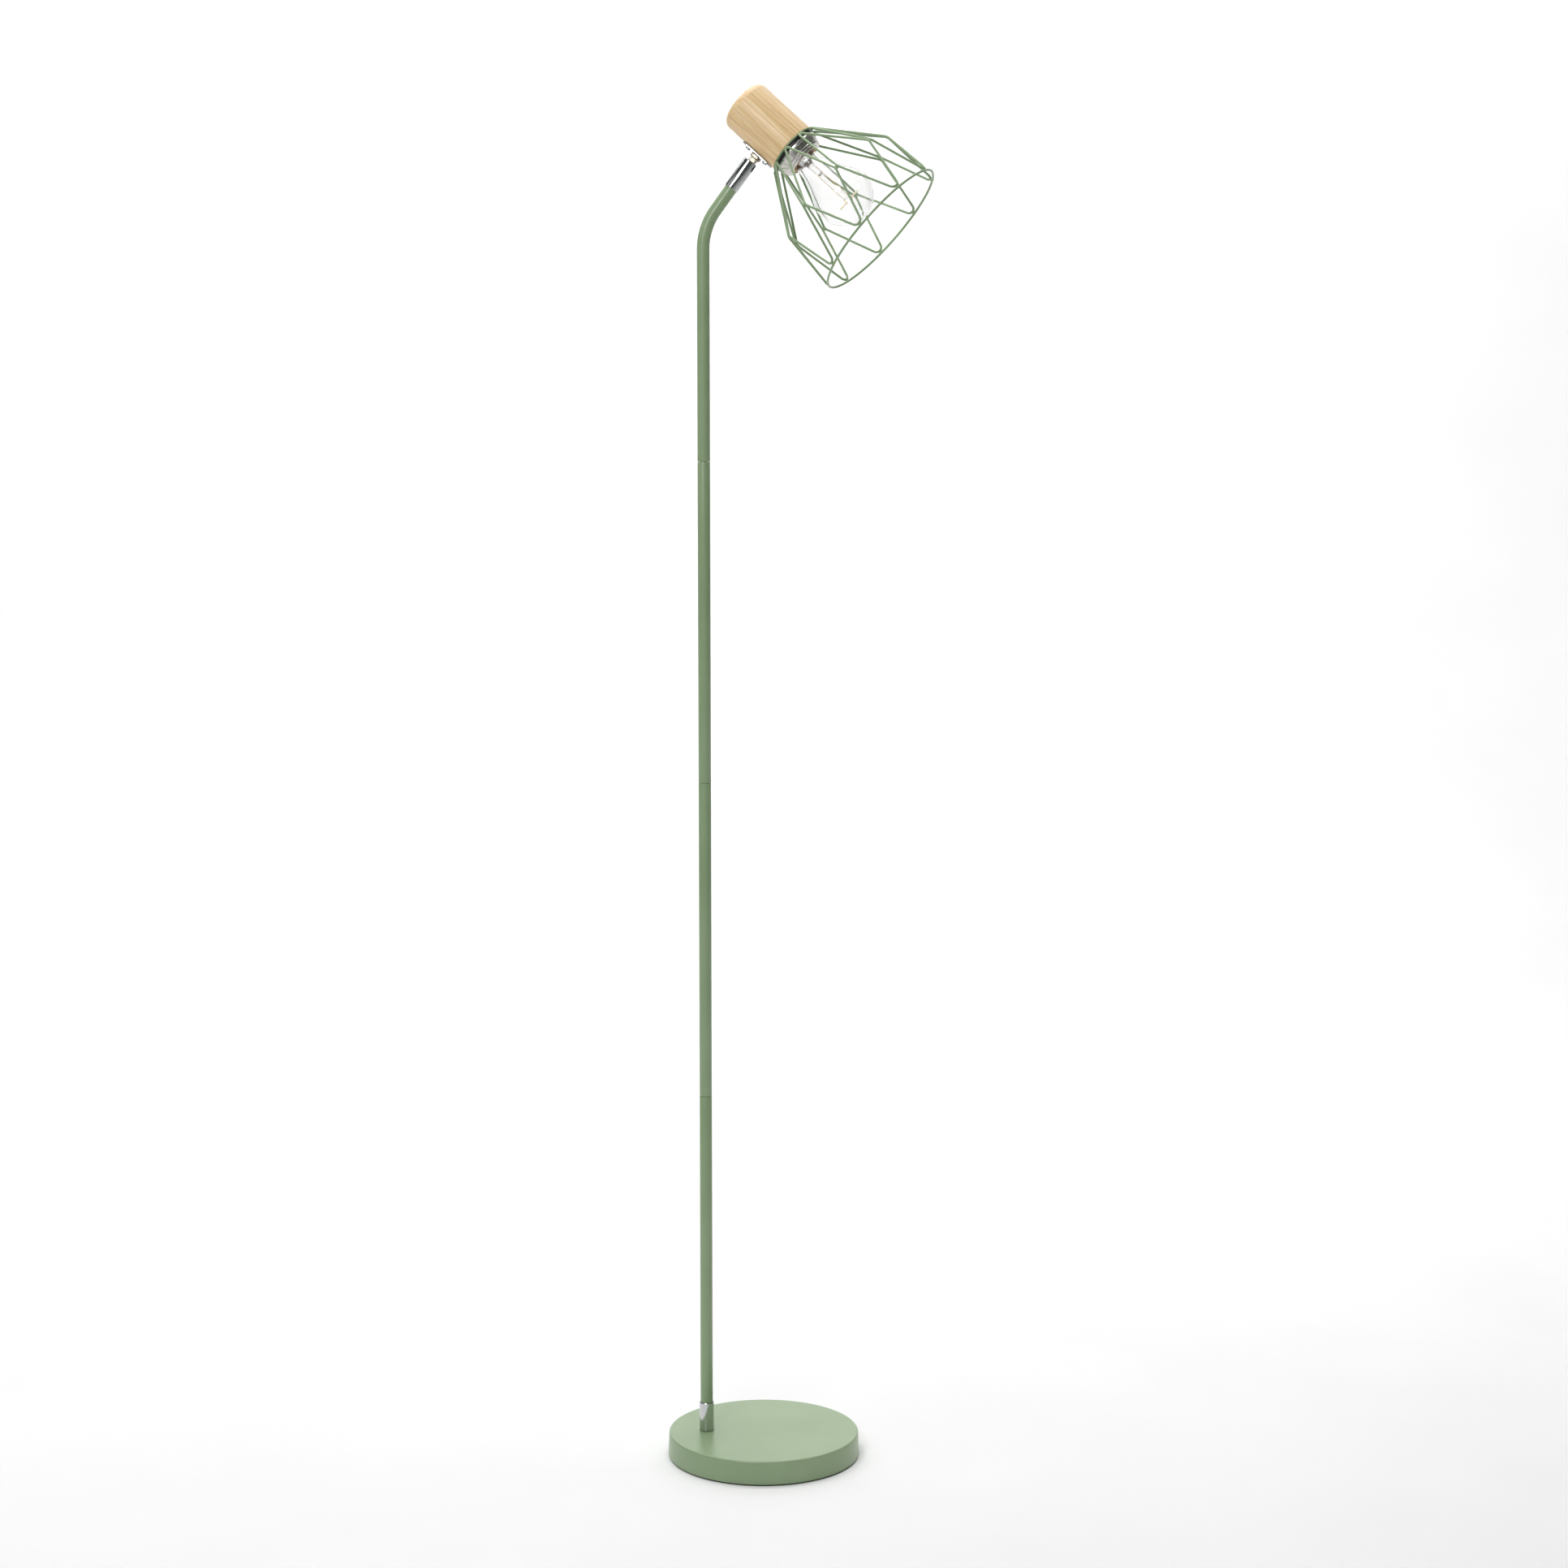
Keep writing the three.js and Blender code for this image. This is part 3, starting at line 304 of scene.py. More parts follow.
def bored(piece, cutters):
    """Cuts each cutter, a bmesh in metres, out of a piece and keeps the result as its mesh."""
    tools = []
    for bm in cutters:
        bmesh.ops.recalc_face_normals(bm, faces=bm.faces)
        mesh = bpy.data.meshes.new("cutter")
        bm.to_mesh(mesh)
        bm.free()
        tool = bpy.data.objects.new("cutter", mesh)
        bpy.context.scene.collection.objects.link(tool)
        cut = piece.modifiers.new("bore", "BOOLEAN")
        cut.operation = "DIFFERENCE"
        cut.solver = "EXACT"
        cut.object = tool
        tools.append(tool)
    graph = bpy.context.evaluated_depsgraph_get()
    graph.update()
    mesh = bpy.data.meshes.new_from_object(piece.evaluated_get(graph))
    piece.modifiers.clear()
    old = piece.data
    mesh.name = piece.name
    piece.data = mesh
    bpy.data.meshes.remove(old)
    for tool in tools:
        bpy.data.objects.remove(tool)


# ------------------------------------------------------------------ material helpers
def srgb(red, green, blue):
    """Linear colour from 0-255 display values."""
    out = []
    for value in (red, green, blue):
        value /= 255
        out.append(value / 12.92 if value <= 0.04045 else ((value + 0.055) / 1.055) ** 2.4)
    return (*out, 1.0)


class Finish:
    """A node material with a Principled surface and short calls to build its inputs."""

    def __init__(self, name, **surface):
        self.material = bpy.data.materials.new(name)
        self.material.use_nodes = True
        self.tree = self.material.node_tree
        self.tree.nodes.clear()
        self.output = self.node("ShaderNodeOutputMaterial")
        self.shader = self.node("ShaderNodeBsdfPrincipled")
        self.link(self.shader.outputs[0], self.output.inputs["Surface"])
        self.set(**surface)
        self.coords = self.node("ShaderNodeTexCoord").outputs["Object"]

    def node(self, kind, **values):
        made = self.tree.nodes.new(kind)
        for key, value in values.items():
            setattr(made, key, value)
        return made

    def link(self, source, target):
        self.tree.links.new(source, target)

    def set(self, **surface):
        for key, value in surface.items():
            self.shader.inputs[key.replace("_", " ")].default_value = value

    def clear_to_shadows(self):
        """Lets lamplight through a glass wall, so what stands behind it isn't in the dark."""
        clear = self.node("ShaderNodeBsdfTransparent")
        paths = self.node("ShaderNodeLightPath")
        either = self.node("ShaderNodeMixShader")
        self.link(paths.outputs["Is Shadow Ray"], either.inputs[0])
        self.link(self.shader.outputs[0], either.inputs[1])
        self.link(clear.outputs[0], either.inputs[2])
        self.link(either.outputs[0], self.output.inputs["Surface"])

    def feed(self, socket, source):
        self.link(source, self.shader.inputs[socket])

    def mapped(self, scale=(1, 1, 1), place=None, source=None):
        """Coordinates in a local frame given by place, then stretched by scale."""
        coords = source or self.coords
        if place is not None:
            inverse = place.inverted()
            turn = self.node("ShaderNodeMapping", vector_type="POINT")
            turn.inputs["Location"].default_value = inverse.to_translation()
            turn.inputs["Rotation"].default_value = inverse.to_euler("XYZ")
            turn.inputs["Scale"].default_value = inverse.to_scale()
            self.link(coords, turn.inputs["Vector"])
            coords = turn.outputs[0]
        stretch = self.node("ShaderNodeMapping", vector_type="POINT")
        stretch.inputs["Scale"].default_value = scale
        self.link(coords, stretch.inputs["Vector"])
        return stretch.outputs[0]

    def noise(self, coords, scale, detail, roughness=0.5):
        made = self.node("ShaderNodeTexNoise")
        made.inputs["Scale"].default_value = scale
        made.inputs["Detail"].default_value = detail
        made.inputs["Roughness"].default_value = roughness
        self.link(coords, made.inputs["Vector"])
        return made.outputs[0]

    def ramp(self, source, *stops):
        made = self.node("ShaderNodeValToRGB")
        made.color_ramp.interpolation = "EASE"
        points = made.color_ramp.elements
        while len(points) < len(stops):
            points.new(0.5)
        for point, (at, colour) in zip(points, stops):
            point.position = at
            point.color = colour if isinstance(colour, tuple) else (colour, colour, colour, 1)
        self.link(source, made.inputs[0])
        return made.outputs[0]

    def fit(self, source, low, high, new_low, new_high):
        made = self.node("ShaderNodeMapRange")
        for socket, value in zip(("From Min", "From Max", "To Min", "To Max"),
                                 (low, high, new_low, new_high)):
            made.inputs[socket].default_value = value
        self.link(source, made.inputs["Value"])
        return made.outputs[0]

    def math(self, operation, a, b=None, c=None):
        made = self.node("ShaderNodeMath", operation=operation)
        for socket, value in zip(made.inputs, (a, b, c)):
            if value is None:
                continue
            if isinstance(value, (int, float)):
                socket.default_value = value
            else:
                self.link(value, socket)
        return made.outputs[0]

    def blend(self, factor, a, b):
        made = self.node("ShaderNodeMix", data_type="RGBA", blend_type="MIX")
        for socket, value in ((made.inputs[0], factor), (made.inputs[6], a), (made.inputs[7], b)):
            if isinstance(value, (int, float, tuple)):
                socket.default_value = value
            else:
                self.link(value, socket)
        return made.outputs[2]

    def bump(self, height, strength, distance, normal=None):
        made = self.node("ShaderNodeBump")
        made.inputs["Strength"].default_value = strength
        made.inputs["Distance"].default_value = distance
        self.link(height, made.inputs["Height"])
        if normal is not None:
            self.link(normal, made.inputs["Normal"])
        return made.outputs[0]


# ------------------------------------------------------------------ materials
def sage_powder_coat():
    """Satin powder coat: fine orange peel, faint cloudiness and a few darker specks."""
    f = Finish("sage_powder_coat", Metallic=0.0, IOR=1.56)
    cloud = f.noise(f.coords, 14, detail=4)
    fleck = f.noise(f.coords, 1900, detail=2)
    tint = f.ramp(cloud, (0.3, srgb(138, 162, 123)), (0.7, srgb(145, 168, 129)))
    speck = f.fit(fleck, 0.62, 0.78, 0.0, 0.22)
    f.feed("Base Color", f.blend(speck, tint, srgb(124, 148, 110)))
    peel = f.noise(f.coords, 780, detail=2, roughness=0.45)
    fine = f.noise(f.coords, 3300, detail=1)
    f.feed("Roughness", f.fit(peel, 0.3, 0.7, 0.28, 0.36))
    coarse = f.bump(peel, 0.22, 0.00022)
    f.feed("Normal", f.bump(fine, 0.1, 0.00006, coarse))
    return f.material


def bright_chrome():
    """Polished plating with faint polishing haze and hairline scratches."""
    f = Finish("bright_chrome", Metallic=1.0)
    haze = f.noise(f.coords, 60, detail=5)
    f.feed("Base Color", f.ramp(haze, (0.25, (0.52, 0.53, 0.54, 1)), (0.75, (0.6, 0.61, 0.62, 1))))
    hair = f.noise(f.mapped((3500, 3500, 90)), 1, detail=2)
    f.feed("Roughness", f.fit(haze, 0.3, 0.75, 0.1, 0.18))
    f.feed("Normal", f.bump(hair, 0.03, 0.00002))
    return f.material


def zinc_plated_steel():
    f = Finish("zinc_plated_steel", Metallic=1.0)
    grains = f.noise(f.coords, 520, detail=4)
    f.feed("Base Color", f.ramp(grains, (0.3, srgb(158, 160, 160)), (0.7, srgb(188, 188, 184))))
    f.feed("Roughness", f.fit(grains, 0.3, 0.7, 0.28, 0.45))
    f.feed("Normal", f.bump(f.noise(f.coords, 1600, detail=2), 0.12, 0.00004))
    return f.material


def champagne_nickel():
    """Die-cast knuckle with a satin nickel plate, slightly warm."""
    f = Finish("champagne_nickel", Metallic=1.0)
    grains = f.noise(f.coords, 260, detail=5)
    f.feed("Base Color", f.ramp(grains, (0.3, srgb(132, 126, 111)), (0.7, srgb(158, 152, 137))))
    f.feed("Roughness", f.fit(grains, 0.3, 0.7, 0.2, 0.34))
    f.feed("Normal", f.bump(f.noise(f.coords, 1500, detail=3), 0.12, 0.00005))
    return f.material


def satin_metal():
    """Spun shade ring: fine turning lines round the cup's axis."""
    f = Finish("satin_spun_metal", Metallic=1.0)
    local = f.mapped(place=CUP)
    lines = f.noise(f.mapped((0.9, 0.9, 14), source=local), 1, detail=4)
    shade = f.noise(f.coords, 90, detail=3)
    f.feed("Base Color", f.ramp(shade, (0.3, srgb(206, 203, 198)), (0.7, srgb(216, 213, 209))))
    f.feed("Roughness", f.fit(lines, 0.3, 0.7, 0.22, 0.28))
    f.feed("Normal", f.bump(lines, 0.03, 0.00004))
    return f.material


def socket_brass():
    f = Finish("socket_brass", Metallic=1.0)
    tarnish = f.noise(f.coords, 140, detail=5)
    f.feed("Base Color", f.ramp(tarnish, (0.3, srgb(196, 146, 80)), (0.75, srgb(232, 190, 122))))
    f.feed("Roughness", f.fit(tarnish, 0.3, 0.7, 0.22, 0.42))
    f.feed("Normal", f.bump(f.noise(f.coords, 1400, detail=2), 0.1, 0.00004))
    return f.material


# Black plastic of the lampholder and the bulb insulator. On the shade washer this black is also
# painted shade for the recess behind the shade ring.
def black_phenolic_and_painted_shade():
    f = Finish("black_phenolic_and_painted_shade", Metallic=0.0, IOR=1.52)
    mottle = f.noise(f.coords, 300, detail=4)
    f.feed("Base Color", f.ramp(mottle, (0.3, srgb(20, 20, 22)), (0.7, srgb(34, 33, 34))))
    f.feed("Roughness", f.fit(mottle, 0.3, 0.7, 0.32, 0.5))
    f.feed("Normal", f.bump(f.noise(f.coords, 1200, detail=2), 0.15, 0.00006))
    return f.material


def black_rubber():
    f = Finish("black_rubber", Metallic=0.0, IOR=1.5)
    bloom = f.noise(f.coords, 85, detail=4)
    f.feed("Base Color", f.ramp(bloom, (0.3, srgb(22, 22, 22)), (0.75, srgb(44, 44, 42))))
    f.feed("Roughness", f.fit(bloom, 0.3, 0.7, 0.7, 0.92))
    f.feed("Normal", f.bump(f.noise(f.coords, 1700, detail=3), 0.3, 0.0001))
    return f.material


def cast_cement():
    f = Finish("cast_cement", Metallic=0.0, IOR=1.5)
    mottle = f.noise(f.coords, 110, detail=7, roughness=0.65)
    f.feed("Base Color", f.ramp(mottle, (0.3, srgb(120, 117, 110)), (0.7, srgb(164, 160, 151))))
    pores = f.noise(f.coords, 900, detail=3)
    f.feed("Roughness", f.fit(mottle, 0.3, 0.7, 0.8, 0.97))
    f.feed("Normal", f.bump(pores, 0.6, 0.0004))
    return f.material


def turned_wood():
    """Pale oiled timber turned along its grain. The growth rings lie round a pith to one
    side of the cup, so its wall shows straight lines and its closed end shows arcs."""
    pith_across, pith_beside, ring_width, wobble = 64, -38, 2.9, 9
    f = Finish("turned_wood", Metallic=0.0, IOR=1.48)
    local = f.mapped(place=CUP)
    wander = f.noise(f.mapped((0.05, 0.05, 0.006), source=local), 1, detail=2)
    split = f.node("ShaderNodeSeparateXYZ")
    f.link(local, split.inputs[0])
    across = f.math("ADD", split.outputs[0], pith_across)
    beside = f.math("ADD", split.outputs[1], pith_beside)
    square = f.math("MULTIPLY_ADD", across, across, f.math("MULTIPLY", beside, beside))
    growth = f.math("SQRT", square)
    growth = f.math("MULTIPLY_ADD", wander, wobble, growth)
    year = f.math("FRACT", f.math("DIVIDE", growth, ring_width))
    late = f.ramp(year, (0.0, 0.25), (0.12, 0.0), (0.55, 0.12), (0.86, 0.72), (1.0, 1.0))
    fibre = f.noise(f.mapped((1.6, 1.6, 0.022), source=local), 1, detail=5, roughness=0.62)
    streak = f.noise(f.mapped((0.34, 0.34, 0.006), source=local), 1, detail=3)
    pores = f.noise(f.mapped((4.6, 4.6, 0.11), source=local), 1, detail=2, roughness=0.7)
    ground = f.ramp(streak, (0.3, srgb(231, 195, 138)), (0.5, srgb(243, 210, 157)),
                    (0.7, srgb(250, 225, 180)))
    lined = f.blend(f.math("MULTIPLY", late, 0.16), ground, srgb(190, 144, 92))
    fibred = f.blend(f.fit(fibre, 0.48, 0.68, 0.0, 0.55), lined, srgb(178, 130, 76))
    pored = f.blend(f.fit(pores, 0.6, 0.72, 0.0, 0.6), fibred, srgb(150, 104, 60))
    f.feed("Base Color", pored)
    f.feed("Roughness", f.fit(fibre, 0.3, 0.7, 0.38, 0.56))
    relief = f.bump(pores, 0.25, -0.00012)
    f.feed("Normal", f.bump(fibre, 0.12, 0.0001, relief))
    f.set(Coat_Weight=0.45, Coat_Roughness=0.32)
    return f.material


def clear_glass():
    """Blown glass, faintly grey, with slow waviness."""
    f = Finish("clear_glass", Metallic=0.0, Roughness=0.0, IOR=1.46, Transmission_Weight=1.0)
    wave = f.noise(f.coords, 55, detail=2)
    f.feed("Base Color", f.ramp(wave, (0.3, (0.935, 0.937, 0.932, 1)),
                                (0.7, (0.95, 0.951, 0.947, 1))))
    f.feed("Normal", f.bump(wave, 0.05, 0.0004))
    f.clear_to_shadows()
    return f.material


def pressed_glass_painted_highlight():
    """Thick pressed glass that holds the lead wires, given a milky white that is a painted
    highlight standing in for the bright highlights on the press.
    """
    f = Finish("pressed_glass_painted_highlight", Metallic=0.0, IOR=1.46, Transmission_Weight=0.9)
    cloud = f.noise(f.coords, 240, detail=3)
    # Painted highlight: a near-white colour on a surface that is a tenth diffuse whitens the whole
    # press, in place of highlights on clear glass.
    f.feed("Base Color", f.ramp(cloud, (0.3, (0.95, 0.95, 0.94, 1)),
                                (0.7, (0.985, 0.985, 0.975, 1))))
    f.feed("Roughness", f.fit(cloud, 0.3, 0.7, 0.04, 0.16))
    f.feed("Normal", f.bump(cloud, 0.08, 0.0001))
    f.clear_to_shadows()
    return f.material


def lead_wire_metal():
    f = Finish("lead_wire_metal", Metallic=1.0)
    grains = f.noise(f.coords, 900, detail=3)
    f.feed("Base Color", f.ramp(grains, (0.3, srgb(150, 122, 74)), (0.7, srgb(196, 170, 118))))
    f.feed("Roughness", f.fit(grains, 0.3, 0.7, 0.25, 0.4))
    f.feed("Normal", f.bump(grains, 0.1, 0.00003))
    return f.material


def filament_ceramic():
    f = Finish("filament_ceramic", Metallic=0.0, IOR=1.5)
    mottle = f.noise(f.coords, 700, detail=3)
    f.feed("Base Color", f.ramp(mottle, (0.3, srgb(200, 188, 158)), (0.7, srgb(220, 210, 184))))
    f.feed("Roughness", f.fit(mottle, 0.3, 0.7, 0.35, 0.55))
    f.feed("Normal", f.bump(mottle, 0.2, 0.00008))
    return f.material


SAGE = sage_powder_coat()
CHROME = bright_chrome()
ZINC = zinc_plated_steel()
NICKEL = champagne_nickel()
SATIN = satin_metal()
BRASS = socket_brass()
PHENOLIC_AND_PAINTED_SHADE = black_phenolic_and_painted_shade()
RUBBER = black_rubber()
CEMENT = cast_cement()
WOOD = turned_wood()
GLASS = clear_glass()
MOUNT_GLASS = pressed_glass_painted_highlight()
LEAD = lead_wire_metal()
CERAMIC = filament_ceramic()


# ------------------------------------------------------------------ base
def build_base():
    pad = turned(rounded([(0, 0), (BASE_RADIUS - 1.4, 0, 0.4), (BASE_RADIUS - 1.4, PAD_TOP, 0.4),
                          (0, PAD_TOP)], steps=4), 144, closed=False)
    finished("floor_pad", pad, STAND, "stand", RUBBER, ["base_pad"])
    shell = turned(rounded([
        (0, BASE_TOP), (BASE_SHOULDER, BASE_TOP, 2.0), (BASE_RADIUS, SHELL_FOOT, 0.35),
        (BASE_RADIUS - SHELL_WALL, SHELL_FOOT, 0.35),
        (BASE_SHOULDER - SHELL_WALL, BASE_TOP - SHELL_WALL, 1.2),
        (0, BASE_TOP - SHELL_WALL)], steps=8), 192, closed=False)
    cover = finished("base_cover", shell, STAND, "stand", SAGE, ["base_shell"])
    stem_hole, cord_hole = bmesh.new(), bmesh.new()
    rod(stem_hole, 4.3 * MM, (POLE_X * MM, 0, 0.02), (POLE_X * MM, 0, 0.03), 48)
    rod(cord_hole, 5.7 * MM, (0, 0.09, GROMMET_Z * MM), (0, 0.103, GROMMET_Z * MM), 48)
    bored(cover, [stem_hole, cord_hole])
    for face in cover.data.polygons:
        if abs(face.normal.z) > 0.9999:
            face.use_smooth = False
    grommet = turned(rounded([
        (3.1, 95.6, 0.4), (5.4, 95.6, 0.4), (5.4, 98.9), (8, 98.9), (8, 100.9, 0.9),
        (5.6, 100.9, 0.5), (5.2, 101.2, 0.3), (3.1, 101.2, 0.5)], steps=4), 64)
    turn = Matrix.Translation((0, 0, GROMMET_Z * MM)) @ Matrix.Rotation(-math.pi / 2, 4, "X")
    finished("cord_grommet", grommet, turn @ STAND, "stand", RUBBER, ["cable_grommet"])


# ------------------------------------------------------------------ pole and neck
def build_pole():
    ferrule = turned(rounded([
        (FERRULE_BORE, FERRULE_BOTTOM), (FERRULE_RADIUS, FERRULE_BOTTOM, 0.5),
        (FERRULE_RADIUS, FERRULE_TOP - 0.8, 0.5), (FERRULE_BORE + 0.4, FERRULE_TOP, 0.2),
        (FERRULE_BORE, FERRULE_TOP)], steps=6), 96)
    finished("foot_sleeve", ferrule, POLE, "stand", CHROME, ["foot_ferrule"])
    for i, node in enumerate(("pole_lower", "pole_middle", "pole_upper")):
        low = FERRULE_BOTTOM if i == 0 else FERRULE_TOP + SECTION * i + SEAM
        high = FERRULE_TOP + SECTION * (i + 1) - SEAM
        outline = tube_outline(TUBE_BORE, TUBE_RADIUS, low, high, 0.3)
        finished(f"pole_section_{i + 1}", turned(outline, 64), POLE, "stand", SAGE,
                 [node])
    joint = FERRULE_TOP + SECTION * 3
    bend_start = joint + NECK_RISE
    corner = NECK_BEND * math.tan(NECK_ANGLE / 2)
    run = corner + NECK_RUN
    end = (run * math.sin(NECK_ANGLE), 0, bend_start + corner + run * math.cos(NECK_ANGLE))
    bm = bmesh.new()
    bent_tube(bm, [((0, 0, joint + SEAM), 0), ((0, 0, bend_start + corner), NECK_BEND), (end, 0)],
              [TUBE_BORE, TUBE_RADIUS], facets=64, step=1)
    finished("neck_section", bm, POLE, "stand", SAGE, ["neck_tube"], bevel=0.2)


# ------------------------------------------------------------------ swivel and tilt knuckle
def build_swivel():
    sleeve = turned(rounded([
        (SLEEVE_BORE, SLEEVE_FOOT, 0.15), (SLEEVE_RADIUS, SLEEVE_FOOT, 0.3),
        (SLEEVE_RADIUS, SLEEVE_TOP, 1.1), (SLEEVE_BORE - 0.7, SLEEVE_TOP, 0.3),
        (SLEEVE_BORE - 0.7, SLEEVE_TOP - 0.7), (SLEEVE_BORE, SLEEVE_TOP - 0.7)], steps=5), 96)
    piece = finished("swivel_barrel", sleeve, SWIVEL, "swivel", CHROME,
                     ["swivel_sleeve"])
    slot = bmesh.new()
    block(slot, (0, -SLOT_HALF, SLOT_END + SLOT_HALF), (9, SLOT_HALF, SLEEVE_TOP + 1))
    round_end = bmesh.new()
    rod(round_end, SLOT_HALF, (0, 0, SLOT_END + SLOT_HALF), (9, 0, SLOT_END + SLOT_HALF), 32)
    bored(piece, [placed(slot, SWIVEL), placed(round_end, SWIVEL)])


def stadium(bm, half_length, radius, low, high, bevel):
    """Adds a round-ended plate lying along X between two heights."""
    facets = 64
    half_step = Matrix.Rotation(math.pi / facets, 4, "Z")
    ring = bmesh.ops.create_circle(bm, cap_ends=True, radius=radius, segments=facets,
                                   matrix=Matrix.Translation((0, 0, low)) @ half_step)["verts"]
    for vert in ring:
        vert.co.x += math.copysign(half_length - radius, vert.co.x)
    face = ring[0].link_faces[0]
    made = bmesh.ops.extrude_face_region(bm, geom=[face])["geom"]
    top = [part for part in made if isinstance(part, bmesh.types.BMVert)]
    bmesh.ops.translate(bm, vec=(0, 0, high - low), verts=top)
    rims = list({edge for vert in ring + top for edge in vert.link_edges
                 if abs(edge.verts[0].co.z - edge.verts[1].co.z) < 1e-6})
    bmesh.ops.bevel(bm, geom=rims, offset=bevel, offset_type="OFFSET", segments=3,
                    profile=0.5, affect="EDGES", material=-1)


def build_knuckle():
    tongue = bmesh.new()
    rod(tongue, 3.4, (0, -TONGUE_HALF, 0), (0, TONGUE_HALF, 0), 48, bevel=0.3)
    block(tongue, (-3, -TONGUE_HALF, 0.4), (4.2, TONGUE_HALF, 12.4), bevel=0.45)
    block(tongue, (-4.4, -4.4, 11.2), (4.4, 4.4, PLATE_AT - 0.3), bevel=0.6)
    finished("tilt_tongue", tongue, HEAD, "head", NICKEL, ["tilt_knuckle"])
    grub = bmesh.new()
    rod(grub, 1.7, (4.4, 0, GRUB_HEIGHT), (6.1, 0, GRUB_HEIGHT), 32, bevel=0.25)
    piece = finished("tongue_grub_screw", grub, HEAD, "head", NICKEL)
    hexagon = bmesh.new()
    rod(hexagon, 0.9, (5.2, 0, GRUB_HEIGHT), (7, 0, GRUB_HEIGHT), 6)
    bored(piece, [placed(hexagon, HEAD)])
    plate = bmesh.new()
    stadium(plate, PLATE_HALF, PLATE_ROUND, PLATE_AT, PLATE_AT + PLATE_THICK, bevel=0.3)
    plate = finished("cup_plate", plate, HEAD, "head", CHROME, ["mounting_plate"])
    holes = []
    for side in (-1, 1):
        hole = bmesh.new()
        at = side * SCREW_AT
        rod(hole, SCREW_HOLE, (at, 0, PLATE_AT - 1), (at, 0, PLATE_AT + PLATE_THICK + 1), 32)
        holes.append(placed(hole, HEAD))
    bored(plate, holes)
    for i, side in enumerate((-1, 1)):
        build_plate_screw(i + 1, side * SCREW_AT)


def build_plate_screw(number, at):
    top = PLATE_AT - 0.3
    shank = PLATE_AT + PLATE_THICK + 4.3
    outline = rounded([(0, top - 1.95), (1.5, top - 1.85), (2.4, top - 1.3), (2.9, top - 0.5, 0.3),
                       (2.9, top, 0.2), (1.45, top), (1.45, shank - 1.5), (0, shank)], steps=4)
    place = HEAD @ Matrix.Translation((at, 0, 0))
    screw = finished(f"cup_screw_{number}", turned(outline, 48, closed=False), place, "head",
                     CHROME, [f"plate_screw_{number}"])
    turn = Matrix.Rotation(math.radians(20 + 37 * number), 4, "Z")
    recess = []
    for size in ((1.55, 0.3), (0.3, 1.55)):
        bar = bmesh.new()
        block(bar, (-size[0], -size[1], top - 3), (size[0], size[1], top - 1.0))
        recess.append(placed(bar, place @ turn))
    bored(screw, recess)


# ------------------------------------------------------------------ wooden cup and lampholder
def build_cup():
    dome = [(r, -CUP_LENGTH + r * r / 480) for r in (0, 4, 8, 12, 15)]
    outline = rounded([*dome, (CUP_RADIUS, -68.9, 8), (CUP_RADIUS, 0, 0.7), (CUP_BORE, 0, 0.7),
                       (CUP_BORE, -CUP_DEPTH, 1.5), (0, -CUP_DEPTH)], steps=12)
    cup = finished("turned_wood_cup", turned(outline, 192, closed=False), CUP, "head", WOOD,
                   ["wood_cup"])
    pilots = []
    for side in (-1, 1):
        hole = bmesh.new()
        at = side * SCREW_AT - RIM_REACH
        rod(hole, SCREW_HOLE, (CUP_RADIUS - 4.3, 0, at), (CUP_RADIUS + 1, 0, at), 24)
        pilots.append(placed(hole, CUP))
    bored(cup, pilots)


def build_lampholder():
    barrel = rounded([
        (14.35, -12), (14.35, 15.8, 0.3), (SKIRT, 15.8, 0.5), (SKIRT, -18, 0.5), (15, -20, 0.8),
        (15, -48.9, 1.0), (4.3, -48.9, 0.3), (4.3, -45.9, 0.3), (12, -45.9, 1.0), (12, -15, 1.0),
        (0, -15), (0, -12)], steps=4)
    finished("lampholder_barrel", turned(barrel, 96), CUP, "head", PHENOLIC_AND_PAINTED_SHADE,
             ["lampholder_body"])
    thread = [(13.62 + 0.14 * math.sin(z * FULL_TURN / THREAD_PITCH), z) for z in
              [-11.7 + i * 0.3 for i in range(88)]]
    wall = [(radius + 0.32, z) for radius, z in reversed(thread)]
    finished("socket_screw_shell", turned(thread + wall, 96), CUP, "head", BRASS,
             ["socket_shell"])
    lip = rounded([(13.7, 15.9, 0.1), (15.5, 15.9, 0.2), (15.5, 16.7, 0.3), (13.7, 16.7, 0.3)])
    finished("socket_rolled_lip", turned(lip, 96), CUP, "head", BRASS)
    # The washer's black is painted shade: it makes the recess between the cage collar and the
    # shade ring read dark, on top of the washer's own dark plastic.
    washer = rounded([(20.0, 1.8, 0.3), (24.6, 1.8, 0.4), (24.6, 4.7, 0.4), (20.0, 4.7, 0.3)],
                     steps=4)
    finished("shade_washer", turned(washer, 128), CUP, "head", PHENOLIC_AND_PAINTED_SHADE,
             ["insulating_washer"])
    ring = rounded([
        (20.0, 5.0), (25.3, 5.0, 0.5), (25.3, 7.6, 0.8), (24.3, 8.2, 0.5), (22.4, 13.2, 0.6),
        (22.5, 13.9, 0.3), (21.6, 15.6, 0.5), (19.3, 16.1, 0.6), (18.3, 16.3, 0.3),
        (17.9, 17.5, 0.5), (15.8, 17.5, 0.4), (15.8, 16.1, 0.3), (20.0, 16.1)], steps=5)
    finished("shade_ring_spun", turned(ring, 144), CUP, "head", SATIN,
             ["shade_ring"])


# ------------------------------------------------------------------ cage
def sharp_corner(apex, half_spread, radius):
    """Where the sides of a bend meet, if the bend has to reach an apex at this distance."""
    lead = apex - radius
    slant = math.sqrt(lead ** 2 + half_spread ** 2 - radius ** 2)
    return (half_spread * (half_spread * lead + radius * slant)) / (half_spread ** 2 - radius ** 2)


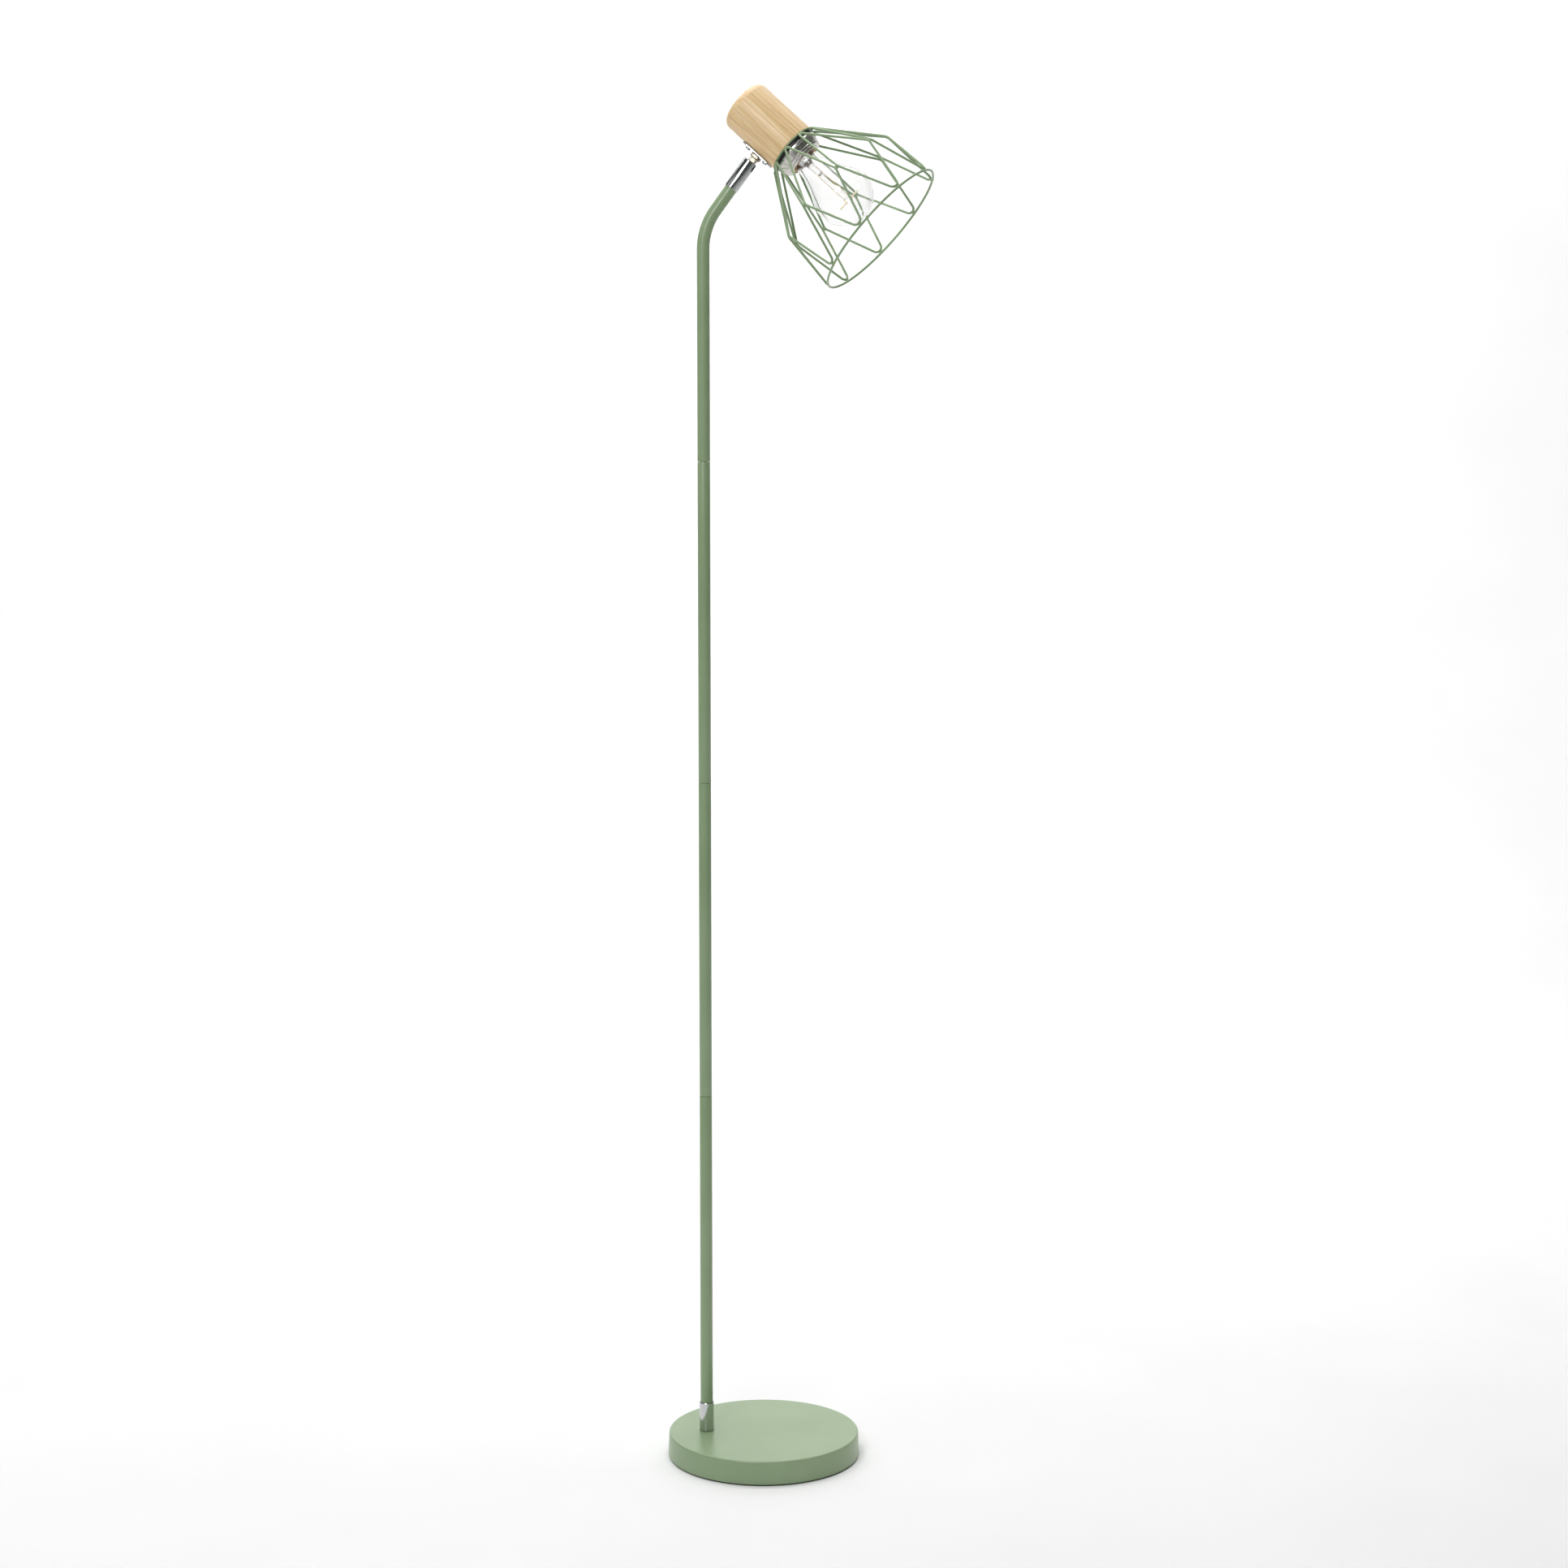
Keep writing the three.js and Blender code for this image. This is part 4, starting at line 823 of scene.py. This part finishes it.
def cage_loop_corners():
    """Top, right knee, tip and left knee of the loop that lies over +X."""
    knee_angle = math.pi / LOOPS - math.asin((WIRE + 0.15) / KNEE_RADIUS)
    spread = KNEE_RADIUS * math.sin(knee_angle)
    knee_line = Vector((KNEE_RADIUS * math.cos(knee_angle), 0, KNEE_DROP))
    seat = (WIRE + 0.3) * math.sqrt(0.5)
    top_apex = Vector((COLLAR + seat, 0, COLLAR_FRONT + seat))
    tip_apex = Vector((RING_RADIUS, 0, RING_DROP - 2 * WIRE - 0.3))
    corners = []
    for apex, radius in ((top_apex, 2.2), (tip_apex, 5.0)):
        reach = apex - knee_line
        length = sharp_corner(reach.length, spread, radius)
        corners.append((knee_line + reach.normalized() * length, radius))
    right = (knee_line + Vector((0, spread, 0)), 6.0)
    left = (knee_line - Vector((0, spread, 0)), 6.0)
    return [corners[0], right, corners[1], left]


def build_cage():
    collar = rounded([(20.3, 0.3, 0.3), (COLLAR, 0.3, 0.5), (COLLAR, COLLAR_FRONT, 0.5),
                      (20.3, COLLAR_FRONT, 0.3)], steps=4)
    finished("cage_collar_disc", turned(collar, 128), CUP, "head", SAGE,
             ["cage_collar"])
    top, right, tip, left = cage_loop_corners()
    start = (top[0] + right[0]) / 2
    for i in range(LOOPS):
        bm = bmesh.new()
        bent_tube(bm, [(start, 0), right, tip, left, top, (start, 0)], [WIRE], facets=20, step=6,
                  join=True)
        bmesh.ops.remove_doubles(bm, verts=bm.verts, dist=1e-3)
        place = CUP @ Matrix.Rotation(FULL_TURN * i / LOOPS, 4, "Z")
        finished(f"cage_wire_{i + 1}", bm, place, "head", SAGE,
                 [f"cage_loop_{i + 1}"], smooth=60)
    hoop = bmesh.new()
    place = Matrix.Translation((RING_RADIUS, 0, 0)) @ Matrix.Rotation(math.pi / 2, 4, "X")
    section = bmesh.ops.create_circle(hoop, cap_ends=False, radius=WIRE, segments=20,
                                      matrix=place)["verts"]
    geom = section + list({edge for vert in section for edge in vert.link_edges})
    bmesh.ops.spin(hoop, geom=geom, cent=(0, 0, 0), axis=(0, 0, 1), dvec=(0, 0, 0),
                   angle=FULL_TURN, steps=180, use_merge=True)
    finished("cage_hoop", hoop, CUP @ Matrix.Translation((0, 0, RING_DROP)), "head", SAGE,
             ["cage_ring"], smooth=60)
    build_welds()


def weld_bead(bm, at, size):
    """Adds a small lumpy bead of weld metal whose first size lies along Y."""
    turn = Vector((0, 1, 0)).to_track_quat("X", "Z").to_matrix().to_4x4()
    made = bmesh.ops.create_icosphere(bm, subdivisions=3, radius=1.0,
                                      matrix=Matrix.Translation(at) @ turn)["verts"]
    centre = Vector(at)
    back = turn.inverted()
    for vert in made:
        local = back @ (vert.co - centre)
        lump = 1 + 0.08 * math.sin(5 * local.x + 3 * local.y) * math.cos(4 * local.z)
        local = Vector((local.x * size[0], local.y * size[1], local.z * size[2])) * lump
        vert.co = centre + turn @ local


def build_welds():
    for i in range(LOOPS):
        knee, ends = bmesh.new(), bmesh.new()
        weld_bead(knee, (KNEE_RADIUS - 1.0, 0, KNEE_DROP), (1.5, 1.05, 2.2))
        placed(knee, Matrix.Rotation(FULL_TURN * (i + 0.5) / LOOPS, 4, "Z"))
        weld_bead(ends, (RING_RADIUS, 0, RING_DROP - WIRE - 0.15), (1.9, 1.1, 0.8))
        weld_bead(ends, (COLLAR + 0.55, 0, COLLAR_FRONT + 0.3), (1.7, 0.9, 0.8))
        placed(ends, Matrix.Rotation(FULL_TURN * i / LOOPS, 4, "Z"))
        finished(f"knee_weld_{i + 1}", knee, CUP, "head", SAGE, smooth=60)
        finished(f"end_welds_{i + 1}", ends, CUP, "head", SAGE, smooth=60)


# ------------------------------------------------------------------ bulb
def glass_outline(inset, arc_steps, flank_steps):
    """Half outline of the glass from its tip to its neck, set in by a thickness."""
    radius = BULB_RADIUS - inset
    last = math.radians(118)
    points = [(radius * math.sin(last * i / arc_steps),
               BULB_CENTRE + radius * math.cos(last * i / arc_steps))
              for i in range(arc_steps + 1)]
    start = Vector(points[-1])
    pull = (BULB_CENTRE - BULB_NECK_END) * 0.28
    end = Vector((BULB_NECK - inset, BULB_NECK_END))
    lead = start + pull * Vector((math.cos(last), -math.sin(last)))
    tail = end + Vector((0, pull))
    for i in range(1, flank_steps + 1):
        t = i / flank_steps
        u = 1 - t
        point = start * u ** 3 + lead * 3 * u * u * t + tail * 3 * u * t * t + end * t ** 3
        points.append((point.x, point.y))
    return points


def build_bulb():
    seat = CAP_RADIUS - 0.7
    outline = [*glass_outline(0, 40, 24), (BULB_NECK, 18.6), (seat + 0.3, 17.4), (seat, CAP_END),
               (seat, 12.9), (seat - GLASS_WALL, 12.9), (seat - GLASS_WALL, CAP_END),
               (BULB_NECK - GLASS_WALL, 18.9), *reversed(glass_outline(GLASS_WALL, 40, 24))]
    finished("bulb_envelope", turned(outline, 128, closed=False), CUP, "head", GLASS,
             ["bulb_glass"], smooth=70)
    foot = CAP_END - 1
    tip = FILAMENT_LEVEL - FILAMENT_ROD - 0.3
    stem = rounded([(0, foot), (8, foot, 0.5), (7, foot + 2, 1.0), (3.6, foot + 8, 3.0),
                    (3.3, foot + 20, 1.0), (1.5, foot + 24, 1.0), (1.3, tip - 3, 0.8),
                    (2.1, tip - 1.9, 0.6), (1.9, tip - 0.6, 0.5), (0, tip)], steps=8)
    finished("glass_mount", turned(stem, 48, closed=False), CUP, "head", MOUNT_GLASS,
             ["bulb_stem"], smooth=70)
    build_cap()
    build_filament(foot)


def build_cap():
    thread = [(CAP_RADIUS - 0.28 + 0.28 * math.sin((z - 1.0) * FULL_TURN / THREAD_PITCH), z)
              for z in [CAP_START + 1.5 + i * 0.3 for i in range(50)]]
    top = thread[-1][1]
    outline = [(6, CAP_START), (CAP_RADIUS - 1.6, CAP_START), *thread,
               (CAP_RADIUS, top + 0.6), (CAP_RADIUS, CAP_END), (CAP_RADIUS - 0.4, CAP_END),
               (CAP_RADIUS - 0.4, top + 0.4)]
    outline += [(radius - 0.4, z) for radius, z in reversed(thread)]
    outline += [(CAP_RADIUS - 1.8, CAP_START + 0.4), (6, CAP_START + 0.4)]
    finished("bulb_screw_cap", turned(outline, 96), CUP, "head", BRASS, ["bulb_cap"])


def build_filament(foot):
    level = FILAMENT_LEVEL
    bm = bmesh.new()
    for side in (-1, 1):
        rod(bm, FILAMENT_ROD, (side * 2.4, 0, level), (side * 12.3, 0, level), 20, bevel=0.25)
    finished("filament_rods", bm, CUP, "head", CERAMIC, ["bulb_filament"])
    leads = bmesh.new()
    press = foot + 14
    for side in (-1, 1):
        corners = [((side * 1.7, 0, press), 0), ((side * 2.9, 0, press + 7), 3.0),
                   ((side * 2.7, 0, level - 1), 2.0), ((side * 2.9, 0, level), 0)]
        bent_tube(leads, corners, [0.28], facets=12, step=12)
        rod(leads, 0.32, (side * 3.6, 0, level - 2.4), (side * 3.6, 0, level + 2.4), 12, bevel=0.1)
    finished("lead_wires", leads, CUP, "head", LEAD, smooth=60)


# ------------------------------------------------------------------ CAD nodes that stay
def refinish():
    """Gives the CAD nodes that are still shown their materials. Most are plated steel."""
    finishes = {"base_weight": CEMENT, "bulb_insulator": PHENOLIC_AND_PAINTED_SHADE, "socket_contact": BRASS}
    for name, node in NODES.items():
        node.data.materials.clear()
        node.data.materials.append(finishes.get(name, ZINC))


# ------------------------------------------------------------------ studio
def build_studio():
    sweep = bmesh.new()
    reach, floor_end, cove, height = 6.0, 1.6, 1.4, 5.0
    rows = [(-reach, 0.0), (floor_end, 0.0)]
    rows += [(floor_end + cove * math.sin(a), cove - cove * math.cos(a))
             for a in [math.radians(7.5 * i) for i in range(1, 13)]]
    rows.append((floor_end + cove, height))
    verts = [sweep.verts.new((-reach, y, z)) for y, z in rows]
    edges = [sweep.edges.new(pair) for pair in zip(verts, verts[1:])]
    made = bmesh.ops.extrude_edge_only(sweep, edges=edges)["geom"]
    moved = [part for part in made if isinstance(part, bmesh.types.BMVert)]
    bmesh.ops.translate(sweep, vec=(2 * reach, 0, 0), verts=moved)
    for face in sweep.faces:
        face.smooth = True
    mesh = bpy.data.meshes.new("studio_sweep")
    sweep.to_mesh(mesh)
    sweep.free()
    paper = Finish("studio_paper", Metallic=0.0, Roughness=0.9)
    tooth = paper.noise(paper.coords, 3, detail=2)
    paper.feed("Base Color", paper.ramp(tooth, (0.3, (0.9, 0.9, 0.9, 1)),
                                        (0.7, (0.92, 0.92, 0.92, 1))))
    mesh.materials.append(paper.material)
    backdrop = bpy.data.objects.new("studio_sweep", mesh)
    bpy.context.scene.collection.objects.link(backdrop)


def softbox(name, at, aim, width, height, power):
    light = bpy.data.lights.new(name, "AREA")
    light.shape = "RECTANGLE"
    light.size = width
    light.size_y = height
    light.energy = power
    made = bpy.data.objects.new(name, light)
    made.location = at
    made.rotation_euler = (Vector(aim) - Vector(at)).to_track_quat("-Z", "Y").to_euler()
    bpy.context.scene.collection.objects.link(made)


def light_studio():
    world = bpy.data.worlds.new("studio_room")
    world.use_nodes = True
    tree = world.node_tree
    walls = tree.nodes["Background"]
    walls.inputs["Color"].default_value = (0.88, 0.88, 0.88, 1)
    dim_room = tree.nodes.new("ShaderNodeBackground")
    dim_room.inputs["Color"].default_value = (1, 1, 1, 1)
    dim_room.inputs["Strength"].default_value = 0.09
    # Past the sweep the room looks pale, seen directly or through glass, but lights dimly.
    seen = tree.nodes.new("ShaderNodeLightPath")
    either = tree.nodes.new("ShaderNodeMixShader")
    pale = tree.nodes.new("ShaderNodeMath")
    pale.operation = "MAXIMUM"
    tree.links.new(seen.outputs["Is Camera Ray"], pale.inputs[0])
    tree.links.new(seen.outputs["Is Transmission Ray"], pale.inputs[1])
    tree.links.new(pale.outputs[0], either.inputs[0])
    tree.links.new(dim_room.outputs[0], either.inputs[1])
    tree.links.new(walls.outputs[0], either.inputs[2])
    tree.links.new(either.outputs[0], tree.nodes["World Output"].inputs["Surface"])
    bpy.context.scene.world = world
    softbox("overhead", (-0.3, -0.2, 4.4), (0, 0, 0.6), 3.2, 3.2, 84)
    softbox("key", (-0.85, -2.3, 2.15), (0, 0, 1.3), 1.0, 1.0, 27)
    softbox("side_panel", (-2.1, -0.7, 1.9), (0, 0, 1.2), 1.5, 1.6, 4)
    softbox("backdrop_wash", (0, 1.1, 3.4), (0, 2.8, 1.5), 5.0, 0.8, 90)


def place_camera():
    pitch_down = 6.78
    lens = bpy.data.cameras.new("product_camera")
    lens.sensor_width = 36
    lens.lens = 68.66
    lens.clip_end = 50
    camera = bpy.data.objects.new("product_camera", lens)
    camera.location = (0.021, -3.0, 1.056)
    camera.rotation_euler = (math.radians(90 - pitch_down), 0, 0)
    bpy.context.scene.collection.objects.link(camera)
    bpy.context.scene.camera = camera


# ------------------------------------------------------------------ assembly
build_base()
build_pole()
build_swivel()
build_knuckle()
build_cup()
build_lampholder()
build_cage()
build_bulb()
refinish()
build_studio()
light_studio()
place_camera()
bpy.context.scene.view_settings.view_transform = "Standard"
